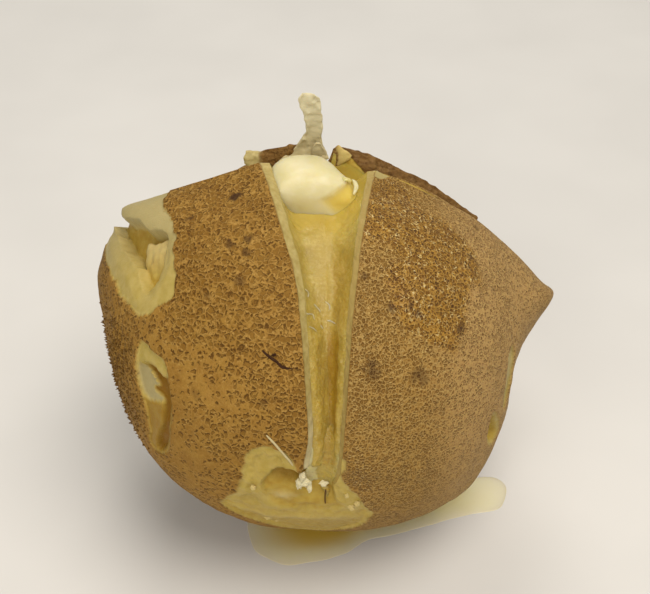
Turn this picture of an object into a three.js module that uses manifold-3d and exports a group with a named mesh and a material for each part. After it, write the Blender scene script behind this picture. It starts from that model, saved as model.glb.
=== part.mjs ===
// A baked potato, cut crosswise through the top and squeezed open, with a pat of butter in the cross.
// Millimetres. +Z is up, the front faces -Y and +X is to its right. The origin is on the table, under
// the middle of the potato.
//
// The potato is one solid. A body with the outline of a squared-off ellipsoid is cut by four V-shaped
// slits, front, right, back and left, that meet in the middle. Between two slits lies a quarter: rows run
// over it from the slit before it to the slit after it, and from its tip at the top to the slits' ends
// and on to the underside. Patches where the skin has burst are cut out afterwards.
import * as THREE from "three";
import Module from "manifold-3d";

const wasm = await Module();
wasm.setup();

// ---------------------------------------------------------------- driving dimensions
const MIDDLE_HEIGHT = 35; // the middle of the body above the table
const HALF_WIDTH = 39.5; // X
const HALF_DEPTH = 37; // Y
const HALF_HEIGHT_TOP = 35;
const HALF_HEIGHT_BOTTOM = 36.5; // 1.5 more than the height of the middle, so the underside is a flat spot
const SQUARENESS = 2.15; // exponent of the outline: 2 is an ellipsoid
const UNDERSIDE_TAPER = 0.05; // how much the lower half draws in, most of all at 45 degrees
const LIP_REACH = 13; // how far from a slit its raised lip fades into the body
const RIND = 1.6; // skin and firm layer under it, cut square at a slit
const CUT_BULGE = 0.9; // how far the soft flesh of a cut face swells
const DEEP = 8; // a cut face lower than this swells less

const CENTRE = new THREE.Vector3(0, 0, MIDDLE_HEIGHT);
const DOWN = new THREE.Vector3(0, 0, -1);

// ---------------------------------------------------------------- the body
// A direction from the middle of the body: azimuth 0 is the front, 90 the right; elevation 90 is up.
function direction(azimuth, elevation) {
  const a = THREE.MathUtils.degToRad(azimuth);
  const e = THREE.MathUtils.degToRad(elevation);
  return new THREE.Vector3(Math.sin(a) * Math.cos(e), -Math.cos(a) * Math.cos(e), Math.sin(e));
}

// Low swellings (positive) and hollows (negative) of the body: where, how wide in degrees, how high.
const SWELLINGS = [
  { at: direction(-80, -14), width: 34, height: -3.3 },
  { at: direction(85, -12), width: 22, height: -2.2 },
  { at: direction(150, 50), width: 34, height: -2.6 },
  { at: direction(-140, 45), width: 32, height: -2.5 },
  { at: direction(-155, 60), width: 15, height: 1.4 },
  { at: direction(45, -42), width: 24, height: 2 },
];

// Distance from the middle of the body to its surface in the direction n.
function bodyRadius(n) {
  const halfHeight = n.z > 0 ? HALF_HEIGHT_TOP : HALF_HEIGHT_BOTTOM;
  const sum =
    Math.pow(Math.abs(n.x / HALF_WIDTH), SQUARENESS) +
    Math.pow(Math.abs(n.y / HALF_DEPTH), SQUARENESS) +
    Math.pow(Math.abs(n.z / halfHeight), SQUARENESS);
  const below = Math.max(0, -n.z);
  const taper = 1 - UNDERSIDE_TAPER * 4 * below ** 2 * (1 - below ** 2);
  let r = taper * Math.pow(sum, -1 / SQUARENESS);
  for (const s of SWELLINGS) {
    const turn = THREE.MathUtils.radToDeg(n.angleTo(s.at));
    r += s.height * Math.exp(-((turn / s.width) ** 2));
  }
  return n.z < 0 ? Math.min(r, MIDDLE_HEIGHT / -n.z) : r;
}

function onBody(n, above = 0) {
  return n.clone().multiplyScalar(bodyRadius(n) + above).add(CENTRE);
}

// ---------------------------------------------------------------- the slits
// Each slit has a crease at its bottom and two lips, before and after it going round from front to right.
const P = (x, y, z) => new THREE.Vector3(x, y, z);
const MEETING = P(1.5, 8, 60); // where the creases meet, under the butter
const TIP = {
  frontLeft: P(-8.7, 4.5, 71),
  frontRight: P(12, 5, 69.4),
  backRight: P(5.3, 12, 69.5),
  backLeft: P(-1.1, 14, 68.8),
};
const END = {
  front: onBody(direction(6.5, -15)),
  right: onBody(direction(77, -29)),
  back: onBody(direction(175, 10)),
  left: onBody(direction(-97, -4)),
};

function curve(points) {
  return new THREE.CatmullRomCurve3(points, false, "catmullrom", 0.5);
}

const SLITS = {
  front: {
    crease: curve([MEETING, P(3.6, 0, 60.6), P(4.1, -10, 59.9), P(4.2, -18, 57.2), P(4.6, -23.5, 52),
      P(5, -28, 43.5), P(5.3, -30.5, 33.5), END.front]),
    before: curve([TIP.frontLeft, P(-7.3, -0.7, 70.8), P(-5.2, -9.5, 69.4), P(-2.1, -20.8, 65),
      P(-1, -28, 59.3), P(-0.3, -33.5, 51.3), P(0.1, -36.3, 43.4), P(-0.6, -36.6, 35.5), END.front]),
    after: curve([TIP.frontRight, P(10.8, -2.3, 69.3), P(9.3, -12.5, 67.9), P(8.3, -20.3, 64.7),
      P(7.3, -27.8, 58.8), P(6.5, -34, 49.5), P(5.8, -36.5, 39), P(5.2, -35.8, 32), END.front]),
  },
  right: {
    crease: curve([MEETING, P(10, 8.5, 58.5), P(20, 8, 55.5), P(29, 7.5, 49.5), P(34, 5.5, 41.5),
      P(35.2, 1.5, 33.5), P(35, -2.5, 25.5), END.right]),
    before: curve([TIP.frontRight, P(20.6, 5, 64.6), P(30, 5, 59), P(38.3, 5, 51), P(43.5, 5.5, 44.6),
      P(46.6, 6.3, 40.6), P(43.4, 4.6, 35.4), P(39.6, 1.5, 30), P(37.5, -3, 24), END.right]),
    after: curve([TIP.backRight, P(12, 11.5, 65.2), P(22, 11, 60.5), P(31, 10.5, 54), P(37, 10, 46.5),
      P(39.2, 8.5, 38.5), P(38.6, 4.8, 31), P(37.2, -1, 24), END.right]),
  },
  back: {
    crease: curve([MEETING, P(3, 15, 58.5), P(3.6, 22, 56), P(3.8, 28.5, 51), END.back]),
    before: curve([TIP.backRight, P(6.6, 19, 65.2), P(6.8, 26.5, 60.5), P(5.6, 33.2, 53), END.back]),
    after: curve([TIP.backLeft, P(-0.4, 20.5, 65), P(0.8, 28, 59.5), P(2.2, 33.5, 52.5), END.back]),
  },
  left: {
    crease: curve([MEETING, P(-8, 8.5, 58), P(-18, 8.5, 54), P(-27, 8, 48), P(-33.5, 7, 41), END.left]),
    before: curve([TIP.backLeft, P(-7.6, 13, 65.3), P(-19, 12.5, 60), P(-30.7, 12, 52.5),
      P(-35.8, 10, 47), P(-38.3, 7, 40), END.left]),
    after: curve([TIP.frontLeft, P(-17.5, 4.5, 67.9), P(-28.3, 4.8, 63.8), P(-34.1, 5, 61.2),
      P(-36.4, 4.8, 56), P(-38.4, 4.5, 51), P(-39.6, 4.2, 44.5), END.left]),
  },
};
const QUARTERS = [
  { from: SLITS.front, to: SLITS.right, tip: TIP.frontRight },
  { from: SLITS.right, to: SLITS.back, tip: TIP.backRight },
  { from: SLITS.back, to: SLITS.left, tip: TIP.backLeft },
  { from: SLITS.left, to: SLITS.front, tip: TIP.frontLeft },
];

// ---------------------------------------------------------------- the quarters' surface
const ROWS_CUT = 26; // rows from the tip to the ends of the slits
const ROWS_BELOW = 9; // rows from there to the middle of the underside
const COLUMNS_SKIN = 20;
const COLUMNS_CUT = 4; // columns over the soft flesh of a cut face

function slerp(a, b, t) {
  const angle = a.angleTo(b);
  if (angle < 1e-6) return a.clone();
  return a.clone().multiplyScalar(Math.sin((1 - t) * angle) / Math.sin(angle))
    .addScaledVector(b, Math.sin(t * angle) / Math.sin(angle)).normalize();
}

// How far the skin at distance d from a slit still follows the slit's raised lip.
function lipShare(d) {
  return Math.exp(-((d / LIP_REACH) ** 2));
}

// One row of the skin from the lip point a to the lip point b. relief(p) is added to the height at p.
function skinRow(a, b, relief) {
  const na = a.clone().sub(CENTRE);
  const nb = b.clone().sub(CENTRE);
  const liftA = na.length() - bodyRadius(na.clone().normalize());
  const liftB = nb.length() - bodyRadius(nb.clone().normalize());
  na.normalize();
  nb.normalize();
  const row = [];
  for (let j = 0; j <= COLUMNS_SKIN; j++) {
    const u = j / COLUMNS_SKIN;
    const n = slerp(na, nb, u);
    const shareA = (1 - u) * lipShare(n.angleTo(na) * HALF_WIDTH);
    const shareB = u * lipShare(n.angleTo(nb) * HALF_WIDTH);
    const p = onBody(n, shareA * liftA + shareB * liftB);
    row.push(p.addScaledVector(n, relief(p)));
  }
  return row;
}

// Moves p away from the middle of the body.
function lifted(p, distance) {
  return p.clone().addScaledVector(p.clone().sub(CENTRE).normalize(), distance);
}

// Points over a cut face, from its crease up to the inner edge of the rind. The face swells into the
// slit by up to bulge, and by raised all over; outward is that way.
function cutColumn(crease, lip, outward, bulge, raised) {
  const depth = lip.distanceTo(crease);
  const inner = lifted(lip, Math.min(0, raised) - RIND * Math.min(1, depth / (4 * RIND)));
  const points = [lifted(crease, raised)];
  for (let k = 1; k <= COLUMNS_CUT; k++) {
    const t = k / COLUMNS_CUT;
    const swell = bulge * Math.sin(Math.PI * t) * Math.min(1, depth / DEEP);
    points.push(crease.clone().lerp(inner, t).addScaledVector(outward, swell + raised));
  }
  return points;
}

// One cut face's column at s of 0 to 1 along a slit. turn is 1 for the face after the slit, -1 before it.
// At the tip the two cut faces of a quarter meet in one ridge, which leans towards the middle.
function faceColumn(slit, lipCurve, s, turn, raised) {
  const crease = slit.crease.getPointAt(s);
  const lip = lipCurve.getPointAt(s);
  if (s === 0) {
    const inwards = crease.clone().sub(lip).setZ(0).normalize();
    return cutColumn(crease, lip, inwards, 0, raised);
  }
  const along = lipCurve.getTangentAt(s).multiplyScalar(turn);
  const outward = along.cross(lip.clone().sub(crease)).normalize();
  return cutColumn(crease, lip, outward, CUT_BULGE, raised);
}

// All rows of one quarter. raised swells the whole surface outwards, or draws it in where negative.
function quarterRows(quarter, raised = 0, relief = () => 0) {
  const height = (p) => raised + relief(p);
  const rows = [];
  for (let i = 0; i < ROWS_CUT; i++) {
    const s = i / ROWS_CUT;
    const a = quarter.from.after.getPointAt(s);
    const b = quarter.to.before.getPointAt(s);
    const faceA = faceColumn(quarter.from, quarter.from.after, s, 1, raised);
    const faceB = faceColumn(quarter.to, quarter.to.before, s, -1, raised);
    // A surface that is drawn in also has its lips further from the slits.
    const shift = i ? THREE.MathUtils.clamp(-raised / a.distanceTo(b), 0, 0.4) : 0;
    rows.push([...faceA, ...skinRow(a.clone().lerp(b, shift), b.clone().lerp(a, shift), height),
      ...faceB.reverse()]);
  }
  const start = quarter.from.after.getPointAt(1).sub(CENTRE).normalize();
  const end = quarter.to.before.getPointAt(1).sub(CENTRE).normalize();
  for (let i = 0; i <= ROWS_BELOW; i++) {
    const s = i / ROWS_BELOW;
    const row = skinRow(onBody(slerp(start, DOWN, s)), onBody(slerp(end, DOWN, s)), height);
    const pad = COLUMNS_CUT + 1;
    rows.push([...Array(pad).fill(row[0]), ...row, ...Array(pad).fill(row[COLUMNS_SKIN])]);
  }
  return rows;
}

// ---------------------------------------------------------------- meshes and solids
const WELD = 1e4; // points closer than 1/WELD mm are one

// Joins grids of points (rows of points) into one indexed mesh, without the faces that have no area.
function weld(grids) {
  const index = new Map();
  const positions = [];
  const triangles = [];
  const add = (p) => {
    const key = [p.x, p.y, p.z].map((v) => Math.round(v * WELD)).join();
    if (!index.has(key)) {
      index.set(key, positions.length / 3);
      positions.push(p.x, p.y, p.z);
    }
    return index.get(key);
  };
  const face = (a, b, c) => {
    if (a !== b && b !== c && c !== a) triangles.push(a, b, c);
  };
  for (const rows of grids) {
    const ids = rows.map((row) => row.map(add));
    for (let i = 0; i + 1 < ids.length; i++)
      for (let j = 0; j + 1 < ids[i].length; j++) {
        const [a, b, c, d] = [ids[i][j], ids[i + 1][j], ids[i + 1][j + 1], ids[i][j + 1]];
        face(a, b, c);
        face(a, c, d);
      }
  }
  return { positions, triangles };
}

function solid({ positions, triangles }) {
  return new wasm.Manifold(new wasm.Mesh({
    numProp: 3,
    vertProperties: new Float32Array(positions),
    triVerts: new Uint32Array(triangles),
  }));
}

function body(raised, relief) {
  return solid(weld(QUARTERS.map((quarter) => quarterRows(quarter, raised, relief))));
}

// ---------------------------------------------------------------- burst patches
// Where the skin and some flesh have come away. Outlines are azimuth and elevation in degrees.
const BURSTS = [
  { depth: 4.2, outline: [[-106, 29], [-106, 35], [-94, 37], [-87, 41], [-81, 45], [-77, 48],
    [-70, 48], [-63, 43], [-59, 38], [-60, 34], [-68, 35], [-76, 36], [-90, 32]] }, // right through the left lip
  { depth: 2.4, outline: [[-54, 24], [-47, 25], [-42, 24], [-38, 13], [-39, 3], [-42, -3], [-46, -2],
    [-46, 6], [-51, 14]] },
  { depth: 3.4, outline: [[-26, -22], [-21, -13], [-18, 0], [-15, 7], [-10, 10], [-4, 8], [-2, 1], [1, 7],
    [9, 4], [12, -4], [17, -13], [18, -24], [15, -36], [8, -40], [-2, -41], [-14, -33]] }, // under the front slit
  { depth: 1.6, outline: [[55, 2], [59, -2], [62, -10], [58, -12], [54, -6]] },
];
const WEDGE_NEAR = 20; // a burst's cutter reaches from this radius
const WEDGE_FAR = 60; // to this one

// Crags of the torn flesh at the point p: a few millimetres across and under one deep.
function crags(p) {
  return 0.5 * Math.sin(0.9 * p.x + 0.4 * p.z) * Math.sin(0.8 * p.z - 0.3 * p.x) +
    0.35 * Math.sin(1.9 * p.x + 1) * Math.sin(1.7 * p.z + 2);
}

// A wedge from the middle of the body that has the given outline.
function wedge(outline) {
  const rim = outline.map(([azimuth, elevation]) => direction(azimuth, elevation));
  const axis = rim.reduce((sum, n) => sum.add(n), new THREE.Vector3()).normalize();
  const ring = (radius) => [...rim, rim[0]].map((n) => n.clone().multiplyScalar(radius).add(CENTRE));
  const hub = (radius) => Array(rim.length + 1).fill(axis.clone().multiplyScalar(radius).add(CENTRE));
  return solid(weld([[hub(WEDGE_NEAR), ring(WEDGE_NEAR), ring(WEDGE_FAR), hub(WEDGE_FAR)]]));
}

function burst(potato, { depth, outline }) {
  const floor = body(-depth, crags);
  return potato.subtract(wedge(outline).subtract(floor));
}

// ---------------------------------------------------------------- shreds
const SHRED_HALF_THICKNESS = 0.55;
const SHRED_SIDES = 8;

// A flat strip with rounded edges through stations of a middle point and the vector to its edge.
// across is the direction of its thickness.
function strip(stations, across) {
  const turns = Array.from({ length: SHRED_SIDES + 1 }, (_, k) => (2 * Math.PI * (k % SHRED_SIDES)) / SHRED_SIDES);
  const rings = stations.map(([at, edge]) => turns.map((turn) => at.clone()
    .addScaledVector(edge, Math.cos(turn))
    .addScaledVector(across, SHRED_HALF_THICKNESS * Math.sin(turn))));
  const hub = (at) => Array(SHRED_SIDES + 1).fill(at);
  return solid(weld([[hub(stations.at(-1)[0]), ...rings.reverse(), hub(stations[0][0])]]));
}

// A sliver of rind that stands on the back left tip.
const STANDING_SHRED = strip([
  [P(-0.5, 14.8, 66.2), P(3.6, 0.4, 0)],
  [P(0, 13.4, 69), P(2.9, 0.2, 0.3)],
  [P(0.7, 12.4, 71.5), P(1.9, 0, 0.2)],
  [P(1, 11.8, 74), P(1.45, -0.2, 0)],
  [P(0.5, 11.2, 77.5), P(1.75, -0.4, -0.1)],
  [P(-0.1, 11, 80), P(1.85, -0.3, -0.3)],
  [P(-0.3, 11, 81.2), P(1.2, -0.2, -0.2)],
], P(0, 1, 0.1));
// A curl of skin that is lifted at the lip beside it.
const LIFTED_CURL = strip([
  [P(-4.6, 13.9, 66), P(0, 0, 2.2)],
  [P(-7.6, 13, 67), P(0, 0.3, 1.9)],
  [P(-10, 12.3, 67.5), P(0, 0.2, 1.6)],
  [P(-11.8, 12, 67.8), P(0.2, 0, 1.1)],
], P(0.1, 1, 0));

// ---------------------------------------------------------------- the butter
const BUTTER_MIDDLE = P(1.2, 4.2, 67);
const BUTTER_HALF = P(7.3, 6.2, 5.3);
const BUTTER_SQUARENESS = 2.5;
const BUTTER_SLUMP = 0.22; // how far its front right corner has melted down
const BUTTER_COLUMNS = 28;
const BUTTER_ROWS = 14;
const CLEARANCE = 0.35; // between the butter and the flesh

// A rounded pat: an ellipsoid with squarer corners whose height falls off towards the front right.
function butterBlob() {
  const power = (v) => Math.sign(v) * Math.abs(v) ** (2 / BUTTER_SQUARENESS);
  const point = (turn, rise) => {
    const x = power(Math.cos(rise)) * power(Math.cos(turn));
    const y = power(Math.cos(rise)) * power(Math.sin(turn));
    const slump = 1 - BUTTER_SLUMP * Math.max(0, x - y);
    const z = power(Math.sin(rise)) * (rise > 0 ? slump : 1);
    return P(x, y, z).multiply(BUTTER_HALF).add(BUTTER_MIDDLE);
  };
  const rows = [];
  for (let i = 0; i <= BUTTER_ROWS; i++) {
    const rise = Math.PI * (0.5 - i / BUTTER_ROWS);
    const row = [];
    for (let j = 0; j <= BUTTER_COLUMNS; j++) {
      row.push(point((2 * Math.PI * (j % BUTTER_COLUMNS)) / BUTTER_COLUMNS, rise));
    }
    rows.push(row);
  }
  return solid(weld([rows]));
}

function largestPiece(made) {
  return made.decompose().reduce((best, piece) => (piece.volume() > best.volume() ? piece : best));
}

// ---------------------------------------------------------------- assembly
let potato = body(0);
for (const each of BURSTS) potato = burst(potato, each);
potato = largestPiece(potato.add(STANDING_SHRED).add(LIFTED_CURL));

const nearFlesh = body(CLEARANCE);
const butter = largestPiece(butterBlob().subtract(nearFlesh));

function geometryOf(made) {
  const mesh = made.getMesh();
  const geometry = new THREE.BufferGeometry();
  geometry.setAttribute("position", new THREE.BufferAttribute(new Float32Array(mesh.vertProperties), 3));
  geometry.setIndex(new THREE.BufferAttribute(new Uint32Array(mesh.triVerts), 1));
  geometry.computeVertexNormals();
  return geometry;
}

function part(name, made, material) {
  const mesh = new THREE.Mesh(geometryOf(made), material);
  mesh.name = name;
  return mesh;
}

const SKIN = new THREE.MeshStandardMaterial({ color: 0x946b32, roughness: 0.75, metalness: 0 });
const BUTTER = new THREE.MeshStandardMaterial({ color: 0xf0e0ac, roughness: 0.3, metalness: 0 });

const group = new THREE.Group();
group.add(part("potato", potato, SKIN));
group.add(part("butter", butter, BUTTER));

// The origin is under the middle of the whole.
const box = new THREE.Box3().setFromObject(group);
const middle = box.getCenter(new THREE.Vector3());
group.position.set(-middle.x, -middle.y, -box.min.z);
export default group;
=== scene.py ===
# %% [markdown]
# # A buttered baked potato
#
# A floury potato baked in its skin, cut crosswise through the top, squeezed open and buttered. The lesson
# builds it as the real one is made up: a netted brown skin on a thin firm rind, soft yellow flesh under it,
# patches where the skin has burst, and butter that melts in the middle.
#
# The solids that carry it are loaded first, as a frame that stays where it is.
# %% The frame
import math

import bpy
import numpy as np
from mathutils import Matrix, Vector


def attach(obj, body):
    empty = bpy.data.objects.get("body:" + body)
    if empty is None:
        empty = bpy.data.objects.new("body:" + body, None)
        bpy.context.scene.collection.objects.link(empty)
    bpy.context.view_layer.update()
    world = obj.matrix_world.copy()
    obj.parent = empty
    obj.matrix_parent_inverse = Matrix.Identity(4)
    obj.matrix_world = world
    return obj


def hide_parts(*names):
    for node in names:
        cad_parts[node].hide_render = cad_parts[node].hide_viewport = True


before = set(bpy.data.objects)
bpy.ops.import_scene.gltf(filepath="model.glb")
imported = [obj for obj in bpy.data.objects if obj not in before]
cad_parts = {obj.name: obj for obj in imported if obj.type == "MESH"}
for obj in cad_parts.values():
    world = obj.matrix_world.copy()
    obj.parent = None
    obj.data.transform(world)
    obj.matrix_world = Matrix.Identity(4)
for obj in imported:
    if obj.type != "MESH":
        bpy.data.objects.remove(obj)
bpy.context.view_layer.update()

print("frame:", ", ".join(sorted(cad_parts)))

# %% [markdown]
# Everything is worked out in millimetres in the potato's own frame, whose origin lies under the middle of
# its body, and moved to the frame's origin, under the middle of the whole, as the last step of each mesh.
# %% Units, directions and the body
MM = 0.001
PLACE = np.array([-3.3149, -0.0249, 0.0])
MIDDLE = np.array([0.0, 0.0, 35.0])
HALF_WIDTH = 39.5
HALF_DEPTH = 37.0
HALF_HEIGHT_TOP = 35.0
HALF_HEIGHT_BOTTOM = 36.5
SQUARENESS = 2.15
UNDERSIDE_TAPER = 0.05
LIP_REACH = 13.0  # mm from a lip over which the skin rises to it
RIND = 1.6  # mm thick
DOWN = np.array([0.0, 0.0, -1.0])


def unit(v):
    return v / np.maximum(np.linalg.norm(v, axis=-1, keepdims=True), 1e-9)


def direction(azimuth, elevation):
    """Azimuth 0 is the front and 90 the right, elevation 90 is up, in degrees."""
    a = np.radians(azimuth)
    e = np.radians(elevation)
    return np.stack([np.sin(a) * np.cos(e), -np.cos(a) * np.cos(e), np.sin(e) + 0 * a], axis=-1)


def turn_between(n, m):
    """The angle between directions, in degrees."""
    return np.degrees(np.arccos(np.clip((n * m).sum(-1), -1, 1)))


SWELLINGS = [  # azimuth, elevation and width in degrees, height in mm, negative for a dent
    (-80, -14, 34, -3.3),
    (85, -12, 22, -2.2),
    (150, 50, 34, -2.6),
    (-140, 45, 32, -2.5),
    (-155, 60, 15, 1.4),
    (45, -42, 24, 2.0),
    (62, -31, 13, 2.2),
    (86, -5, 12, -1.5),
]


def body_radius(n):
    """Distance from the middle to the skin: the squared-off ellipsoid sum(|n / half|^p)^(-1/p), drawn in
    below, plus bell-shaped swellings, and cut off where it would pass through the table."""
    half_z = np.where(n[..., 2] > 0, HALF_HEIGHT_TOP, HALF_HEIGHT_BOTTOM)
    total = (
        np.abs(n[..., 0] / HALF_WIDTH) ** SQUARENESS
        + np.abs(n[..., 1] / HALF_DEPTH) ** SQUARENESS
        + np.abs(n[..., 2] / half_z) ** SQUARENESS
    )
    below = np.clip(-n[..., 2], 0, 1)
    r = (1 - UNDERSIDE_TAPER * 4 * below**2 * (1 - below**2)) * total ** (-1 / SQUARENESS)
    for azimuth, elevation, width, height in SWELLINGS:
        r = r + height * np.exp(-((turn_between(n, direction(azimuth, elevation)) / width) ** 2))
    to_table = MIDDLE[2] / np.maximum(-n[..., 2], 1e-6)
    return np.where(n[..., 2] < 0, np.minimum(r, to_table), r)


def on_body(n, above=0.0):
    return MIDDLE + n * (body_radius(n) + above)[..., None]


front_right_top = direction(np.array([0.0, 90.0, 0.0]), np.array([0.0, 0.0, 90.0]))
print("body radius to the front, right and top:", np.round(body_radius(front_right_top), 1), "mm")

# %% [markdown]
# The four slits. Each has a crease at its bottom and two lips; the curves are smooth through a few points
# measured along them. A real knife cut opens like this when the potato is pinched: the lips gape most at
# the crossing and close towards their ends.
# %% Slits
MEETING = (1.5, 8, 60)
TIP = {
    "front left": (-8.7, 4.5, 71),
    "front right": (12, 5, 69.4),
    "back right": (5.3, 12, 69.5),
    "back left": (-1.1, 14, 68.8),
}
END = {
    "front": on_body(direction(5.6, -8.0)),
    "right": on_body(direction(77.0, -29.0)),
    "back": on_body(direction(175.0, 10.0)),
    "left": on_body(direction(-97.0, -4.0)),
}
SLITS = {
    "front": {
        "crease": [MEETING, (2.2, 0, 60.6), (2.6, -10, 59.9), (2.8, -18, 57.2), (3.0, -23.5, 52),
                   (3.2, -28, 43.5), (3.5, -31.5, 35.5), END["front"]],
        "before": [TIP["front left"], (-7.3, -0.7, 70.8), (-5.2, -9.5, 69.4), (-2.1, -20.8, 65),
                   (-1, -28, 59.3), (-0.3, -33.5, 51.3), (0.1, -36.3, 43.4), (-0.6, -36.6, 35.5),
                   END["front"]],
        "after": [TIP["front right"], (10.8, -2.3, 69.3), (9.3, -12.5, 67.9), (8.3, -20.3, 64.7),
                  (7.3, -27.8, 58.8), (6.5, -34, 49.5), (5.8, -36.5, 39), (5.4, -36.4, 34.5),
                  END["front"]],
    },
    "right": {
        "crease": [MEETING, (10, 8.5, 58.5), (20, 8, 55.5), (29, 7.5, 49.5), (34, 5.5, 41.5),
                   (35.2, 1.5, 33.5), (35, -2.5, 25.5), END["right"]],
        "before": [TIP["front right"], (20.6, 5, 64.6), (30, 5, 59), (38.3, 5, 51), (43.5, 5.5, 44.6),
                   (46.6, 6.3, 40.6), (43.4, 4.6, 35.4), (39.6, 1.5, 30), (37.5, -3, 24), END["right"]],
        "after": [TIP["back right"], (12, 11.5, 65.2), (22, 11, 60.5), (31, 10.5, 54), (37, 10, 46.5),
                  (39.2, 8.5, 38.5), (38.6, 4.8, 31), (37.2, -1, 24), END["right"]],
    },
    "back": {
        "crease": [MEETING, (3, 15, 58.5), (3.6, 22, 56), (3.8, 28.5, 51), END["back"]],
        "before": [TIP["back right"], (6.6, 19, 65.2), (6.8, 26.5, 60.5), (5.6, 33.2, 53), END["back"]],
        "after": [TIP["back left"], (-0.4, 20.5, 65), (0.8, 28, 59.5), (2.2, 33.5, 52.5), END["back"]],
    },
    "left": {
        "crease": [MEETING, (-8, 8.5, 58), (-18, 8.5, 54), (-27, 8, 48), (-33.5, 7, 41), END["left"]],
        "before": [TIP["back left"], (-7.6, 13, 65.3), (-19, 12.5, 60), (-30.7, 12, 52.5),
                   (-35.8, 10, 47), (-38.3, 7, 40), END["left"]],
        "after": [TIP["front left"], (-17.5, 4.5, 67.9), (-28.3, 4.8, 63.8), (-34.1, 5, 61.2),
                  (-36.4, 4.8, 56), (-38.4, 4.5, 51), (-39.6, 4.2, 44.5), END["left"]],
    },
}


def cubic(a, b, c, d, t):
    """The Catmull-Rom cubic from b to c: its slope at each is half the step between its neighbours."""
    return 0.5 * (2 * b + (c - a) * t + (2 * a - 5 * b + 4 * c - d) * t**2 + (3 * b - a - 3 * c + d) * t**3)


def along(points, share):
    """Points at the given shares of the length of the smooth curve through the control points."""
    p = np.array([np.asarray(q, float) for q in points])
    p = np.vstack([2 * p[0] - p[1], p, 2 * p[-1] - p[-2]])
    spans = len(p) - 3

    def at(t):
        i = np.minimum(t.astype(int), spans - 1)
        return cubic(p[i], p[i + 1], p[i + 2], p[i + 3], (t - i)[:, None])

    t = np.linspace(0, spans, 60 * spans + 1)
    length = np.concatenate([[0], np.cumsum(np.linalg.norm(np.diff(at(t), axis=0), axis=1))])
    return at(np.interp(np.asarray(share, float) * length[-1], length, t))


QUARTERS = {  # the slit before it and the slit after it, going round from front to right
    "front_right": ("front", "right"),
    "back_right": ("right", "back"),
    "back_left": ("back", "left"),
    "front_left": ("left", "front"),
}
print("front slit lip:", np.round(along(SLITS["front"]["before"], [0, 0.5, 1]), 1).tolist())

# %% [markdown]
# Skin, flesh and butter are all uneven at several scales. The unevenness has to come out the same each
# time, so it is smooth noise: random numbers that belong to the corners of a lattice, blended in between.
# %% Noise


def random_at(i, seed):
    """A repeatable random number from 0 to 1 for each whole-numbered place i (..., 3). Multiplying and
    shifting mix the bits, so neighbouring places get numbers that have nothing to do with each other."""
    h = i[..., 0] * 73856093 ^ i[..., 1] * 19349663 ^ i[..., 2] * 83492791 ^ (seed * 1640531513 + 977)
    h = h & 0x7FFFFFFF
    h = ((h ^ (h >> 15)) * 1597334677) & 0x7FFFFFFF
    h = ((h ^ (h >> 13)) * 747796405) & 0x7FFFFFFF
    return ((h ^ (h >> 16)) & 0xFFFFFF) / float(0x1000000)


def smooth_noise(p, size, seed):
    """From -1 to 1: random numbers at the corners of cubes of the given size, blended by 3t^2 - 2t^3."""
    q = p / size
    base = np.floor(q).astype(np.int64)
    f = q - base
    f = f * f * (3 - 2 * f)
    total = 0
    for corner in np.ndindex(2, 2, 2):
        c = np.array(corner)
        weight = np.where(c, f, 1 - f).prod(-1)
        total = total + weight * random_at(base + c, seed)
    return 2 * total - 1


def rough_noise(p, size, seed, octaves=3):
    """Smooth noise plus finer and weaker copies of itself, each half as large and half as strong."""
    return sum(smooth_noise(p, size / 2**k, seed + k) / 2**k for k in range(octaves))


def step(low, high, x):
    """0 below low, 1 above high, and the smooth 3t^2 - 2t^3 between."""
    t = np.clip((x - low) / (high - low), 0, 1)
    return t * t * (3 - 2 * t)


def bell(x, y, x0, y0, width, height=None):
    """1 at (x0, y0), falling off as exp(-d^2) with d in widths."""
    return np.exp(-(((x - x0) / width) ** 2) - ((y - y0) / (height or width)) ** 2)


print("noise at one place:", round(float(rough_noise(np.array([1.0, 2.0, 3.0]), 2.0, 5)), 3))

# %% [markdown]
# Every surface below is a grid of points. A closed piece is several grids that share their borders, such
# as the outside, the cut edges and the inside of a shell. One helper joins them: corners at the same place
# become one vertex, and a face that has lost a corner becomes a triangle. Each grid keeps its own normals,
# so a cut edge stays crisp between two smooth sides, and its own values for the materials to read, which
# are stored at the face corners.
# %% From grids to a mesh
SAME = 2e4  # points closer than 1/SAME mm are one


def grid_normals(p):
    """The cross product of the steps along a row and down a column, which faces out where they do."""
    across = np.gradient(p, axis=1)
    down = np.gradient(p, axis=0)
    return unit(np.cross(down, across))


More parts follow.
